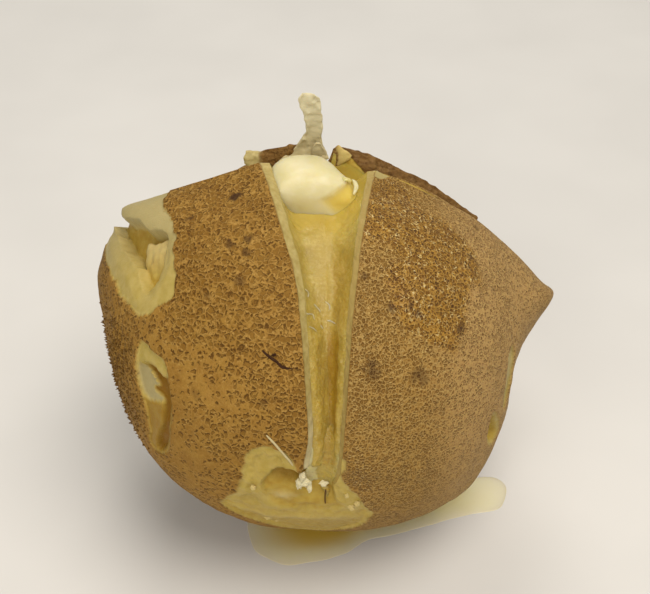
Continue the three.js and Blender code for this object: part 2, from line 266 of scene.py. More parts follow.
def make_mesh(name, grids):
    """grids is a list of {"p": points (rows, columns, 3), "n": normals or nothing, other names: values}.
    A face goes down, then across, so it faces out when the cross product of those two does."""
    names = sorted({k for g in grids for k in g} - {"p", "n"})
    points = np.concatenate([g["p"].reshape(-1, 3) for g in grids])
    normals = np.concatenate([g.get("n", grid_normals(g["p"])).reshape(-1, 3) for g in grids])
    values = {
        k: np.concatenate([np.broadcast_to(g.get(k, 0.0), g["p"].shape[:2]).reshape(-1) for g in grids])
        for k in names
    }
    quads = []
    first = 0
    for g in grids:
        rows, columns = g["p"].shape[:2]
        at = first + np.arange(rows * columns).reshape(rows, columns)
        around = [at[:-1, :-1], at[1:, :-1], at[1:, 1:], at[:-1, 1:]]
        quads.append(np.stack(around, axis=-1).reshape(-1, 4))
        first += rows * columns
    quads = np.concatenate(quads)
    _, kept, same = np.unique(np.round(points * SAME).astype(np.int64), axis=0, return_index=True,
                              return_inverse=True)
    v = same.reshape(-1)[quads]
    keep = v != np.roll(v, 1, axis=1)
    sides = keep.sum(1)
    flat = (sides == 4) & ((v[:, 0] == v[:, 2]) | (v[:, 1] == v[:, 3]))
    keep = keep[(sides > 2) & ~flat]
    quads = quads[(sides > 2) & ~flat]
    corners = quads[keep]
    totals = keep.sum(1)
    mesh = bpy.data.meshes.new(name)
    mesh.vertices.add(len(kept))
    mesh.vertices.foreach_set("co", ((points[kept] + PLACE) * MM).astype(np.float32).ravel())
    mesh.loops.add(len(corners))
    mesh.loops.foreach_set("vertex_index", same.reshape(-1)[corners].astype(np.int32))
    mesh.polygons.add(len(totals))
    mesh.polygons.foreach_set("loop_start", (np.cumsum(totals) - totals).astype(np.int32))
    mesh.update(calc_edges=True)
    mesh.polygons.foreach_set("use_smooth", np.ones(len(totals), bool))
    for k, value in values.items():
        attribute = mesh.attributes.new(k, "FLOAT", "CORNER")
        attribute.data.foreach_set("value", value[corners].astype(np.float32))
    mesh.normals_split_custom_set(normals[corners].astype(np.float32).tolist())
    mesh.validate()
    print(f"{name}: {len(kept)} vertices, {int((totals - 2).sum())} triangles")
    return mesh


def closed_ball(p):
    """A grid that goes once round: its last column is its first, its top and bottom rows are points."""
    p[:, -1] = p[:, 0]
    p[0] = p[0].mean(0)
    p[-1] = p[-1].mean(0)
    return p


def make_piece(name, grids, material, stands_for="potato"):
    piece = bpy.data.objects.new(name, make_mesh(name, grids))
    bpy.context.scene.collection.objects.link(piece)
    piece.data.materials.append(material)
    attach(piece, "root")
    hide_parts(stands_for)


# %% [markdown]
# A quarter of the potato is a star-shaped surface: seen from the middle of the body, each direction meets
# it once. Its rows run from the slit before it to the slit after it, and go down from its tip to the
# slits' ends and on to the middle of the underside. So the distance from the middle is all that has to be
# worked out in each direction, and a dent or a torn patch is only a smaller distance.
# %% A quarter's surface
ROWS_SLIT = 210
ROWS_UNDER = 120
SHARE_SLIT = np.arange(ROWS_SLIT) / ROWS_SLIT
SHARE_UNDER = (np.arange(ROWS_UNDER + 1) / ROWS_UNDER) ** 1.15


def slerp(a, b, t):
    """Turns from direction a to b by the share t: (sin((1 - t) angle) a + sin(t angle) b) / sin(angle)."""
    angle = np.arccos(np.clip((a * b).sum(-1, keepdims=True), -1, 1))
    safe = np.maximum(np.sin(angle), 1e-6)
    turned = (np.sin((1 - t) * angle) * a + np.sin(t * angle) * b) / safe
    return unit(np.where(angle < 1e-4, a + (b - a) * t, turned))


def lip_rows(slit, lip):
    """Points of one lip down to the slit's end, then on over the body to the middle of the underside."""
    curve = along(SLITS[slit][lip], SHARE_SLIT)
    last = unit(END[slit] - MIDDLE)
    under = on_body(slerp(last[None], DOWN[None], SHARE_UNDER[:, None]))
    return np.vstack([curve, under])


def quarter_directions(name, columns):
    """Directions (rows, columns, 3), the bare distances in them, and how far each is from either lip."""
    before, after = QUARTERS[name]
    a = lip_rows(before, "after") - MIDDLE
    b = lip_rows(after, "before") - MIDDLE
    u = np.linspace(0, 1, columns + 1)[None, :, None]
    na = unit(a)[:, None]
    nb = unit(b)[:, None]
    n = slerp(na + 0 * u, nb + 0 * u, u)
    u = u[..., 0]
    raised_a = (np.linalg.norm(a, axis=-1) - body_radius(unit(a)))[:, None]
    raised_b = (np.linalg.norm(b, axis=-1) - body_radius(unit(b)))[:, None]
    to_a = np.radians(turn_between(n, na)) * HALF_WIDTH
    to_b = np.radians(turn_between(n, nb)) * HALF_WIDTH
    r = body_radius(n)
    r = r + (1 - u) * np.exp(-((to_a / LIP_REACH) ** 2)) * raised_a
    r = r + u * np.exp(-((to_b / LIP_REACH) ** 2)) * raised_b
    return n, r, to_a, to_b


distances = quarter_directions("front_left", 40)[1]
print("a quarter's distance from the middle:", np.round([distances.min(), distances.max()], 1), "mm")

# %% [markdown]
# Five patches of skin have burst or torn away: two on the left, a large one in front, and a chip and a
# narrow band on the right. Each is an outline drawn on the skin as it lies, in millimetres to the right of
# and above a point in its middle. How deep a place is inside an outline is its distance to the nearest
# stretch of it, and is negative outside, which is all that a ragged edge, a step down or a sloping band
# needs.
# %% Torn patches
SHEET_AWAY = 38.0  # about the distance from the middle to the skin
UNSEEN = 1e3  # farther than anything on the body


def on_skin(n, at):
    """Millimetres to the right and up from the place at, on a flat sheet laid against the skin there."""
    a, e = np.radians(at)
    right = np.array([math.cos(a), math.sin(a), 0])
    up = np.array([-math.sin(a) * math.sin(e), math.cos(a) * math.sin(e), math.cos(e)])
    ahead = n @ direction(*at)
    seen = ahead > 0.2
    x = n @ right / np.maximum(ahead, 0.2) * SHEET_AWAY
    y = n @ up / np.maximum(ahead, 0.2) * SHEET_AWAY
    return np.where(seen, x, UNSEEN), np.where(seen, y, UNSEEN)


def smooth_loop(outline, per_side=5):
    """A closed outline made smooth, with per_side points from each of its corners to the next."""
    p = np.array(outline, float)
    t = (np.arange(per_side) / per_side)[:, None, None]
    q = cubic(np.roll(p, 1, 0), p, np.roll(p, -1, 0), np.roll(p, -2, 0), t)
    return q.transpose(1, 0, 2).reshape(-1, 2)


def inside(x, y, outline):
    """Distance from (x, y) to the outline, positive within it. A point is within where a line from it
    crosses the outline an odd number of times."""
    reach = 6 + np.abs(outline - outline.mean(0)).max()
    near = (np.abs(x - outline[:, 0].mean()) < reach) & (np.abs(y - outline[:, 1].mean()) < reach)
    px, py = x[near], y[near]
    nearest = np.full(px.shape, UNSEEN)
    crossings = np.zeros(px.shape, int)
    for (x0, y0), (x1, y1) in zip(outline, np.roll(outline, -1, 0)):
        dx, dy = x1 - x0, y1 - y0
        t = np.clip(((px - x0) * dx + (py - y0) * dy) / (dx**2 + dy**2), 0, 1)
        nearest = np.minimum(nearest, np.hypot(px - x0 - t * dx, py - y0 - t * dy))
        level = (y0 > py) != (y1 > py)
        crossings += level & (px < x0 + (py - y0) / (dy if dy != 0 else 1) * dx)
    result = np.full(x.shape, -UNSEEN)
    result[near] = np.where(crossings % 2 == 1, nearest, -nearest)
    return result


def outline_at(at, points):
    """An outline given as azimuth and elevation of its corners, laid on the skin at a place."""
    x, y = on_skin(direction(*np.array(points, float).T), at)
    return smooth_loop(np.stack([x, y], axis=-1))


LEFT_HOLE_AT = (-80.0, 40.0)
LEFT_HOLE = outline_at(LEFT_HOLE_AT, [
    (-112, 29), (-112, 36), (-96, 37), (-91, 40), (-88, 42), (-85, 43), (-82, 44), (-76, 48),
    (-72, 47), (-69, 45), (-64, 42), (-62, 39), (-63, 35), (-69, 35), (-76, 36), (-82, 35),
    (-91, 33),
])
LEFT_BARE = outline_at(LEFT_HOLE_AT, [
    (-112, 29), (-114, 38), (-108, 48), (-90, 50), (-76, 51), (-67, 49), (-60, 46), (-53, 43),
    (-51, 39), (-54, 35), (-56, 31), (-61, 29), (-71, 28), (-84, 27), (-95, 26),
])
LEFT_SHELF = outline_at(LEFT_HOLE_AT, [
    (-81, 41), (-78, 44), (-75, 48), (-68, 45), (-62, 41), (-62, 36), (-68, 34), (-75, 36),
])
LEFT_SPLIT_AT = (-46.0, 12.0)
LEFT_SPLIT = outline_at(LEFT_SPLIT_AT, [
    (-54, 24), (-48, 25), (-42, 23.5), (-39, 18), (-37.5, 12), (-38, 5), (-40, -2), (-44, -5),
    (-47, -4), (-46, 4), (-48, 10), (-52, 15),
])
SPLIT_GAP = [  # in mm from the middle of the patch
    (-3.6, 5.0), (-1.6, 6.1), (0.0, 6.1), (1.9, 5.6), (3.6, 5.7), (4.6, 4.2), (5.0, 0.8),
    (4.8, -3.2), (4.6, -6.5), (2.9, -10.2), (1.0, -11.2), (1.9, -7.0), (3.2, -3.5), (3.3, -1.0),
    (2.9, 1.3), (0.5, 1.8), (0.3, 2.7), (1.4, 3.4), (0.4, 4.1), (-0.9, 4.9), (-2.6, 5.0),
]
SPLIT_MEMBRANE = [  # in mm too
    (-4.3, 4.6), (-2.5, 5.0), (-0.9, 4.7), (0.5, 3.9), (1.3, 3.4), (0.3, 2.6), (0.7, 1.8),
    (2.4, 1.6), (2.9, 1.1), (1.6, 0.4), (-0.1, -0.4), (-1.6, -0.1), (-2.9, 1.2), (-4.1, 3.0),
]
FRONT_TEAR_AT = (-3.0, -15.0)
FRONT_TEAR = outline_at(FRONT_TEAR_AT, [
    (-26, -20), (-23, -13), (-19, -8), (-17.5, 0), (-16, 6), (-13, 9), (-9, 9), (-6, 8), (-4, 5),
    (-2, 1), (1, 7), (9, 6), (9, -1), (11, -5), (14, -11), (18, -18), (18, -24), (15, -33),
    (8, -38), (-2, -41), (-14, -32),
])
TEAR_FLOOR = [  # in mm from the middle of the patch
    (1.6, 13.0), (0.2, 11.4), (-1.0, 11.2), (-3.1, 11.7), (-4.4, 10.7), (-5.6, 8.9), (-6.6, 6.9),
    (-6.4, 4.8), (-5.3, 2.3), (-3.2, 0.4), (0.4, -0.9), (4.0, -1.6), (7.2, -1.2), (9.2, -0.2),
    (7.3, 1.9), (7.0, 4.2), (6.8, 6.4), (7.4, 9.5), (6.0, 14.0),
]
RIGHT_CHIP_AT = (59.0, -5.0)
RIGHT_CHIP = outline_at(RIGHT_CHIP_AT, [(55, 2), (59, -2), (62, -10), (58, -12), (54, -6)])
RIGHT_BAND_AT = (65.0, 6.0)
RIGHT_BAND = outline_at(RIGHT_BAND_AT, [
    (65, 12), (63.5, 8), (62, 3), (62, -1), (64.5, -3), (68, 3), (70, 9), (69, 14),
])
print("front tear:", np.round(np.ptp(FRONT_TEAR, axis=0), 1), "mm wide and high")

# %% [markdown]
# What lies in each patch. The left hole goes right through the raised lip into the left slit. Round it
# the thin brown skin is off and the cream rind shows, which slopes in; a shelf of pale flesh lies inside,
# and painted shade darkens the flesh beyond it. The split shows a band of cream rind, a whitish membrane
# and a deep golden gap between them, darkened by painted shade. The front tear is the largest: its rind
# has a step in it and ends in a ledge, with a pocket under its upper left, a hollow to the left, a lump in
# the middle and a groove where the front slit runs out; painted shade darkens the pocket, the hollow and
# the groove most, and the lower part of the tear. The chip shows flesh, the band shows rind, and so does
# the very tip of the front right quarter.
#
# Each function gets directions, the places on the skin there and how many mm a torn edge strays there.
# Places and depths are in millimetres, x to the right and y up from the patch's middle, and the finishes
# are shares from 0 to 1.
# %% Depths and finishes of the patches
EDGE = (-0.2, 0.2)  # a torn edge takes this many mm to go from skin to bare


def left_hole(n, p, rag):
    x, y = on_skin(n, LEFT_HOLE_AT)
    hole = inside(x, y, LEFT_HOLE) + 0.6 * rag
    shelf = step(-0.3, 0.4, inside(x, y, LEFT_SHELF) + 0.8 * rag)
    off = step(-0.22, 0.22, inside(x, y, LEFT_BARE) + 1.5 * rag)
    flap = step(2.0, 5.0, y - 0.87 * x)
    down = np.clip((x - y) / 8, 0, 1)
    slope = 0.3 * off + step(-2.8, 0.2, hole) * off * 0.6 * (1 - flap)
    fibrous = 0.22 * smooth_noise(p * np.array([1.0, 1.0, 0.4]), 0.9, 13) * shelf
    floor = (0.7 + 1.3 * down) * shelf + 2.7 * (1 - shelf) + 0.25 * smooth_noise(p, 2.2, 14) + fibrous
    flesh = step(0.1, 0.5, hole)
    on_shelf = flesh * shelf * (1 - down) * 0.5
    return {
        "depth": slope + step(-0.2, 0.35, hole) * floor,
        "off": off,
        "flesh": flesh,
        # painted shade over the flesh in the hole, less on the shelf
        "dark": flesh * np.clip(0.3 - 0.2 * shelf, 0, 1),
        "pale": on_shelf + off * (1 - flesh) * (0.4 - 0.3 * down + 0.3 * flap),
    }


def left_split(n, p, rag):
    x, y = on_skin(n, LEFT_SPLIT_AT)
    split = inside(x, y, LEFT_SPLIT) + 1.2 * rag
    off = step(*EDGE, split)
    gap = step(-0.1, 0.35, np.minimum(inside(x, y, smooth_loop(SPLIT_GAP)), split) + 0.25 * rag)
    membrane = step(*EDGE, inside(x, y, smooth_loop(SPLIT_MEMBRANE)) + 0.25 * rag)
    lower = off * step(0.8, -0.8, y - 0.3 * x) * (1 - membrane)
    return {
        "depth": off * (0.35 + 0.5 * membrane) + gap * (0.9 + 0.2 * smooth_noise(p, 2, 15)),
        "off": off,
        "flesh": np.maximum(gap, lower),
        # painted shade in the deep gap, and less on the flesh below the membrane
        "dark": np.maximum(gap, 0.65 * lower),
        "pale": 0.75 * membrane * (1 - gap),
    }


def front_tear(n, p, rag):
    x, y = on_skin(n, FRONT_TEAR_AT)
    tear = inside(x, y, FRONT_TEAR) + 1.4 * rag
    bottom = inside(x, y, smooth_loop(TEAR_FLOOR)) + 0.4 * rag * step(0, 4, y)
    low = step(3.5, -1.5, y)
    sunk = step(-0.05 - 1.6 * low, 0.35 + 1.2 * low, bottom)
    layer = step(1.9, 2.3, tear + 0.5 * smooth_noise(p, 3.0, 23)) * step(1.0, 3.0, y)
    pocket = step(0.0, 1.2, bottom) * step(5.5, 0.5, np.hypot((x - 0.5) / 2.2, (y - 10.0) / 0.9))
    hollow = bell(x, y, -8.6, 1.0, 2.6, 1.7)
    lump = bell(x, y, -2.8, 3.2, 2.1, 1.0)
    groove = step(4.3, 4.8, x) * step(7.0, 5.6, x) * step(2.2, 6.0, y) * sunk
    channel = step(8.2, 6.6, x) * step(-0.6, 1.2, x) * step(0.5, 6.0, y) * sunk
    lower_lip = bell(x * 0.25, y, 0, -5.0, 3.0, 1.2)
    craggy = 0.25 * rough_noise(p, 3.2, 21) + 0.14 * rough_noise(p, 1.2, 22)
    floor = 0.3 * layer + sunk * (0.9 + 1.3 * pocket - 0.4 * lump)
    floor = floor + 1.1 * hollow + 0.5 * groove + 0.7 * channel
    floor = floor - 0.35 * lower_lip + craggy + 0.45 * step(1.0, -3.0, y)
    floor = np.maximum(floor * (0.3 + 0.7 * step(-18.0, -8.5, y)), 0)
    # Painted shade: darkest in the pocket, the hollow and the groove, lighter over the step and the sunk
    # floor, and more towards the bottom of the tear.
    shade = 0.6 * pocket + 0.55 * hollow + 0.8 * groove + 0.16 * layer * (1 - sunk) + 0.2 * sunk
    shade = shade + 0.35 * step(-3.0, -8.0, y)
    return {
        "depth": step(-0.2, 0.35, tear) * 0.4 + step(0.1, 0.9, tear) * floor,
        "off": step(*EDGE, tear),
        "flesh": step(0.1, 0.6, tear) * np.maximum(sunk, 0.25 + 0.4 * step(1, -3, y)),
        "dark": np.clip(step(0.4, 1.0, tear) * shade, 0, 1),
        "pale": 0.6 * lump * step(0, 1, tear) + 0.25 * lower_lip * step(0.5, 1.5, tear),
    }


def right_chip(n, p, rag):
    chip = inside(*on_skin(n, RIGHT_CHIP_AT), RIGHT_CHIP) + 0.5 * rag
    off = step(*EDGE, chip)
    return {"depth": 0.3 * off + 1.3 * step(0.3, 1.1, chip), "off": off, "flesh": step(0.2, 0.8, chip)}


def right_band(n, p, rag):
    off = step(*EDGE, inside(*on_skin(n, RIGHT_BAND_AT), RIGHT_BAND) + rag)
    return {"depth": 0.4 * off, "off": off, "pale": 0.25 * off}


def front_right_tip(n, p, rag):
    off = step(2.6, 2.1, np.linalg.norm(p - np.array(TIP["front right"]), axis=-1) + 1.1 * rag)
    return {"depth": 0.25 * off, "off": off, "pale": 0.5 * off}


def torn(n, p):
    """How far each place lies below the skin, in mm, and 0 to 1 for: skin off, flesh showing, painted shade
    on the flesh, pale membrane. The depths of the patches add up, and of the rest the largest counts."""
    rag = 0.32 * rough_noise(p, 1.7, 11) + 0.12 * smooth_noise(p, 0.7, 12)
    total = dict.fromkeys(["depth", "off", "flesh", "dark", "pale"], np.zeros(p.shape[:-1]))
    for patch in (left_hole, left_split, front_tear, right_chip, right_band, front_right_tip):
        for key, value in patch(n, p, rag).items():
            total[key] = total[key] + value if key == "depth" else np.maximum(total[key], value)
    return (total["depth"], *[np.clip(total[key], 0, 1) for key in ("off", "flesh", "dark", "pale")])


# %% [markdown]
# Baked potato skin is a thin corky layer that dries, shrinks and cracks into a net about a millimetre
# across. The net itself is finer than a mesh should carry, so the material draws it. The mesh carries what
# is broader: swellings, wrinkles beside the split, a few cracks, and values that say where the net is
# dense and dark, where butter has soaked in and where the skin is stained.
# %% Broad relief and condition of the skin
CRACKS = [
    np.array([(-7.3, -29.4, 56.5), (-5.9, -30.2, 55.6), (-4.9, -31.0, 55.3), (-3.9, -31.4, 54.5),
              (-1.6, -31.6, 54.3)]),
    np.array([(-5.7, -30.2, 56.0), (-5.0, -30.4, 56.4)]),
]
STAINS = [  # azimuth, elevation, size in mm, how dark
    (-78.0, 69.0, 1.2, 0.9),
    (-44.0, 59.0, 0.8, 0.6),
    (-36.0, 63.0, 0.9, 0.7),
    (-33.0, 59.0, 0.7, 0.6),
    (-29.0, 51.0, 0.9, 0.5),
    (-75.0, 56.0, 0.8, 0.5),
    (-38.0, 44.0, 0.7, 0.4),
    (-31.0, 20.0, 0.8, 0.3),
    (-12.0, 22.0, 0.9, 0.4),
    (19.0, 30.0, 1.3, 0.6),
    (32.0, 25.0, 1.5, 0.5),
    (30.0, 43.0, 0.7, 0.65),
    (37.0, 42.0, 0.6, 0.7),
    (38.0, 39.0, 0.6, 0.6),
    (50.0, 30.0, 1.2, 0.6),
    (74.0, 40.0, 0.8, 0.5),
    (104.0, 54.0, 0.6, 0.5),
    (25.0, 53.0, 0.7, 0.5),
    (92.0, 39.0, 0.7, 0.5),
    (108.0, 68.0, 0.55, 0.8),
]
SCAB_AT = (-58.0, 13.0)
SCAB = (-4.5, 1.5, 4.0, 5.5)  # place and size in mm, on the skin there, of the wrinkles beside the split
SEEPED = (7.5, 32.0, 3.5, 9.0)  # x, z and size in mm of the butter seeped out beside the front slit
WET_AT = (60.0, 50.0)
WET = outline_at(WET_AT, [
    (50, 74), (97, 71), (106, 64), (101, 59), (86, 57), (83, 51), (81, 44), (76, 38), (68, 34),
    (58, 34), (51, 29), (44, 28), (37, 31), (32, 36), (31, 42), (31, 49), (33, 54), (42, 54),
    (47, 57), (43, 60), (34, 61), (33, 66),
])


def near_cracks(p):
    """Distance to the nearest straight part of the short cracks in the skin."""
    nearest = np.full(p.shape[:-1], UNSEEN)
    for crack in CRACKS:
        for a, b in zip(crack[:-1], crack[1:]):
            t = np.clip(((p - a) @ (b - a)) / ((b - a) @ (b - a)), 0, 1)
            nearest = np.minimum(nearest, np.linalg.norm(p - a - t[..., None] * (b - a), axis=-1))
    return nearest


def skin_condition(n, p, to_lips):
    """Height of the skin in mm, and 0 to 1 for: a dense net, soaked with butter, stained."""
    swell = 0.25 * smooth_noise(p, 9.0, 61) + 0.13 * smooth_noise(p, 3.6, 62)
    swell = swell + 0.06 * smooth_noise(p, 1.3, 65)
    crack = 1 - step(0.05, 0.27, near_cracks(p) + 0.10 * smooth_noise(p, 0.8, 63))
    x, y = on_skin(n, SCAB_AT)
    scab = bell(x, y, *SCAB)
    creased = 0.22 * scab * np.sin(4.0 * x + 1.2 * y + 3.0 * smooth_noise(p, 2.5, 64))
    patchy = rough_noise(p, 7.0, 44, 2)
    near_lip = step(10, 2.5, to_lips) * step(22, 48, p[..., 2])
    high = step(48, 64, p[..., 2])
    dense = 0.45 + 0.45 * near_lip + 0.6 * high + 0.3 * patchy + 0.4 * scab
    x, y = on_skin(n, WET_AT)
    wet = inside(x, y, WET) + 1.5 * rough_noise(p, 3.5, 66)
    seeped = 0.6 * bell(p[..., 0], p[..., 2], *SEEPED) * step(0, -10, p[..., 1])
    soaked = np.maximum(step(-0.9, 1.6, wet), seeped)
    streaked = rough_noise(p * np.array([1, 1, 0.5]), 1.3, 68)
    stain = np.maximum(0.9 * crack, 0.5 * scab * step(0.0, 0.7, streaked))
    for azimuth, elevation, size, how_dark in STAINS:
        x, y = on_skin(n, (azimuth, elevation))
        ragged = np.hypot(x, y) / size + 0.7 * smooth_noise(p, 0.7, 67)
        stain = np.maximum(stain, how_dark * step(1.4, 0.5, ragged))
    return swell - 0.2 * crack + creased, np.clip(dense, 0, 1), soaked, stain


sample = on_body(direction(np.linspace(-60, 60, 200), np.linspace(-10, 40, 200)))
relief = skin_condition(unit(sample - MIDDLE), sample, np.full(200, 9.0))[0]
print("skin relief:", np.round([relief.min(), relief.max()], 2), "mm")

# %% [markdown]
# Each quarter's skin is a closed shell: the outside, the cut edge of its rind along each of its two slits,
# and the inside. Where a patch is torn, the whole shell dips into the flesh, so there is never an open
# edge. Side by side under the slits' ends, two shells meet without a mark, because both work out their
# height from the place alone and share their normals there.
# %% Shells of skin and rind
EDGE_COLUMNS = 6
INSIDE_COLUMNS = 24
RIND_SHARE = {"front_right": 0.75, "back_right": 0.8}
TIP_ROWS = 12  # rows below a tip over which the rind's edge turns away from TIP_WAY
TIP_WAY = {  # which way the rind's thickness lies at each tip
    "front_right": (-0.97, 0.1, -0.2),
    "back_right": (-0.6, -0.75, -0.28),
    "back_left": (0.6, -0.75, -0.28),
    "front_left": (0.98, 0.1, -0.1),
}
LEVEL_EDGE = np.array([1.0, 1.0, 0.45])  # the cut edge heads for the crease but falls less steeply
THINNEST = 0.12  # mm that the rind's edge may take up even where the slit is closed
EDGE_OVER_GAP = 0.6  # the most of the way from a lip to the slit's bottom that the rind's edge takes up
INSIDE_GAP = 0.4  # how much further in than the rind the shell's inside lies
COARSE_TO_FINE = 4.0  # x where the coarse net of the left gives way to the fine one of the right
CHANGE_WIDTH = (4.5, 20.0)  # mm to either side over which it does so in front, and how many more behind
BEHIND = (-12, 22)  # y where the front's net ends and where the back's begins
DUSTY = (17, 30)  # x where the skin on the right begins to be paler and where it is palest
# How free a row of a cut edge is to wander: not at the tip, nor under the slit's end, where it must meet
# its neighbour.
LAST_ROWS = 20
FIRST_ROWS = 6
rows_left = ROWS_SLIT - np.arange(ROWS_SLIT)
END_ROWS = np.concatenate([np.minimum(1, rows_left / LAST_ROWS), np.zeros(ROWS_UNDER + 1)])
FREE = np.minimum(END_ROWS, np.arange(len(END_ROWS)) / FIRST_ROWS)[:, None]


def largest_near(values, reach):
    """The largest value within reach columns to either side."""
    padded = np.pad(values, ((0, 0), (reach, reach)), mode="edge")
    return np.lib.stride_tricks.sliding_window_view(padded, 2 * reach + 1, axis=1).max(-1)


def rind_edge(lip, thick, slit, tip_way):
    """The inner edge of the rind at a lip. The quarters have leaned out since they were cut, so the cut
    edge lies nearly level and runs from the lip over the slit. It turns to tip_way at the tip, and goes
    straight in at the slit's end."""
    crease = np.vstack([along(SLITS[slit]["crease"], SHARE_SLIT), lip[ROWS_SLIT:]])
    away = crease - lip
    gap = np.linalg.norm(away, axis=-1, keepdims=True)
    ending = END_ROWS[:, None] * step(0.5, 3.0, gap)
    at_tip = step(TIP_ROWS, 0, np.arange(len(lip)))[:, None]
    toward = unit(unit(away * LEVEL_EDGE) * ending + unit(MIDDLE - lip) * (1 - ending))
    toward = unit(toward * (1 - at_tip) + tip_way * at_tip)
    reach = thick[:, None] * (1 + 0.2 * ending)
    room = np.maximum(EDGE_OVER_GAP * gap, THINNEST)
    return lip + toward * np.where(at_tip > 0, reach, np.minimum(reach, room))


def shell_grids(name, columns):
    n, whole, to_a, to_b = quarter_directions(name, columns)
    p = MIDDLE + n * whole[..., None]
    depth, off, flesh, dark, pale = torn(n, p)
    behind = step(*BEHIND, p[..., 1])
    reach = CHANGE_WIDTH[0] + CHANGE_WIDTH[1] * behind
    coarse = step(reach, -reach, p[..., 0] - COARSE_TO_FINE + 9 * behind * rough_noise(p, 9.0, 45))
    to_lips = np.minimum(to_a, to_b)
    height, dense, soaked, stain = skin_condition(n, p, to_lips)
    height = height * (1 - off) + off * 0.05 * rough_noise(p, 1.4, 71)
    r = whole - depth + height * (1 - 0.6 * np.exp(-to_lips / 0.5))
    outer = MIDDLE + n * r[..., None]
    outer[..., 2] = np.maximum(outer[..., 2], 0)
    thick = RIND * RIND_SHARE.get(name, 1.0) * (1 - 0.75 * flesh)
    thick = thick * (1 + 0.12 * smooth_noise(p, 2.5, 72)) * (0.15 + 0.85 * END_ROWS[:, None] ** 0.5)
    under = MIDDLE + n * (r - thick)[..., None]
    for j, slit in zip((0, -1), QUARTERS[name]):
        under[:, j] = rind_edge(outer[:, j], thick[:, j], slit, np.array(TIP_WAY[name]))
    under[0] = under[0, :1]
    under[-1] = under[-1, :1]
    look = {"bare": off, "flesh": flesh, "dark": dark, "dense": dense, "soaked": soaked, "stain": stain,
            "coarse": coarse, "pale": pale, "dusty": step(*DUSTY, p[..., 0])}
    outside = {"p": outer, "n": grid_normals(outer), **look}

    def edge(j, way):
        k = np.linspace(0, 1, EDGE_COLUMNS + 1)[None, :, None]
        a, b = (outer, under) if way > 0 else (under, outer)
        p = a[:, j, None] * (1 - k) + b[:, j, None] * k
        side = unit(np.cross(np.gradient(outer[:, j], axis=0), n[:, j]))[:, None]
        wander = 0.2 * rough_noise(p, 1.2, 73)[..., None]
        p = p + side * wander * np.minimum(1, np.minimum(k, 1 - k) * EDGE_COLUMNS) * FREE[..., None]
        t = k[..., 0] if way > 0 else 1 - k[..., 0]
        x, z = p[..., 0], p[..., 2]
        wet_face = step(26, 18, x) * step(5.2, 6.0, x) if name == "back_right" and j == 0 else 0.0
        browned = {"back_right": step(5.8, 5.0, x), "front_right": 0.6 * (j != 0)}.get(name, 0.0)
        return {"p": p, "rim": 1.0, "rim_depth": t + 0 * flesh[:, j, None], "bare": 1.0 - browned,
                "plain": 0.9, "flesh": np.maximum(flesh[:, j, None], wet_face),
                "dark": dark[:, j, None], "coarse": coarse[:, j, None],
                "pale": 0.55 * step(52, 42, z) if name == "front_left" else 0.0}

    back = np.linspace(columns, 0, INSIDE_COLUMNS + 1).round().astype(int)
    deepest = whole - largest_near(depth, columns // INSIDE_COLUMNS + 2) - RIND - INSIDE_GAP
    deepest = MIDDLE + n * deepest[..., None]
    deepest[:, [0, -1]] = under[:, [0, -1]]
    deepest[[0, -1]] = under[[0, -1]]
    inside_sheet = {"p": deepest[:, back], "rim": 1.0, "rim_depth": 1.0, "bare": 1.0}
    return [outside, edge(columns, 1), inside_sheet, edge(0, -1)]


def share_seams(shells):
    """Under the slits' ends the last column of one shell is the first of the next: they get one normal
    between them."""
    order = list(QUARTERS)
    for k, name in enumerate(order):
        here = shells[name][0]["n"]
        there = shells[order[(k + 1) % 4]][0]["n"]
        both = unit(here[ROWS_SLIT:, -1] + there[ROWS_SLIT:, 0])
        here[ROWS_SLIT:, -1] = both
        there[ROWS_SLIT:, 0] = both


COLUMNS = {"front_right": 170, "back_right": 120, "back_left": 110, "front_left": 235}
shells = {name: shell_grids(name, columns) for name, columns in COLUMNS.items()}
share_seams(shells)
print("four shells of", {name: g[0]["p"].shape[:2] for name, g in shells.items()}, "points outside")

# %% [markdown]
# The flesh is one closed piece inside the shells. Over each cut face its grid runs from the slit's bottom
# up to the rind, swollen a little and lumpy, because steamed flesh tears rather than cuts. Squeezing has
# pressed it up at the crossing, so the slit there is a shallow round trough, and only further out a sharp
# one. Between the cut faces it stays well under the skin, where nothing shows.
# %% The flesh
FACE_COLUMNS = 30
HIDDEN_COLUMNS = 14
SUNK = 7.0  # mm that the hidden flesh lies below the rind, at most
CUT_BULGE = 0.9  # about how many mm a deep cut face swells out
DEEPEST_SLIT = 14.0  # mm from the lip, about as far down as a slit goes
TIP_FADE_ROWS = 30  # rows below a tip over which the hidden flesh sinks that far
TUCKED_IN = 0.004  # share of its distance by which the flesh lies below the skin at a slit's end
TROUGH_SHARE = (0.28, 0.62)  # a slit is a round trough up to the first share of it, sharp from the second
FRONT_CLOSES = (0.84, 0.97)  # shares of the front slit between which its bottom rises to the lips
# Where butter has run: under the pat's front edge, down its right side and over the cut face behind it.
BUTTERED = [  # place, size in mm
    ((-1.0, -3.0, 65.0), 4.5),
    ((6.5, -3.5, 66.0), 5.5),
    ((8.0, 1.0, 68.0), 5.0),
    ((9.0, 11.0, 66.5), 6.0),
]
FILL = {  # how far the flesh is pressed up above the crease, in mm, at shares of the slit's length
    "front": [(0, 4.2), (0.2, 4.6), (0.34, 3.8), (0.5, 3.4), (0.7, 3.6), (0.85, 2.0), (0.93, 0.8),
              (1, 0.5)],
    "right": [(0, 4.2), (0.2, 3.4), (0.5, 2.4), (1, 0.5)],
    "back": [(0, 4.2), (0.3, 2.6), (1, 0.5)],
    "left": [(0, 4.2), (0.2, 3.6), (0.5, 4.5), (0.8, 4.5), (1, 0.5)],
}


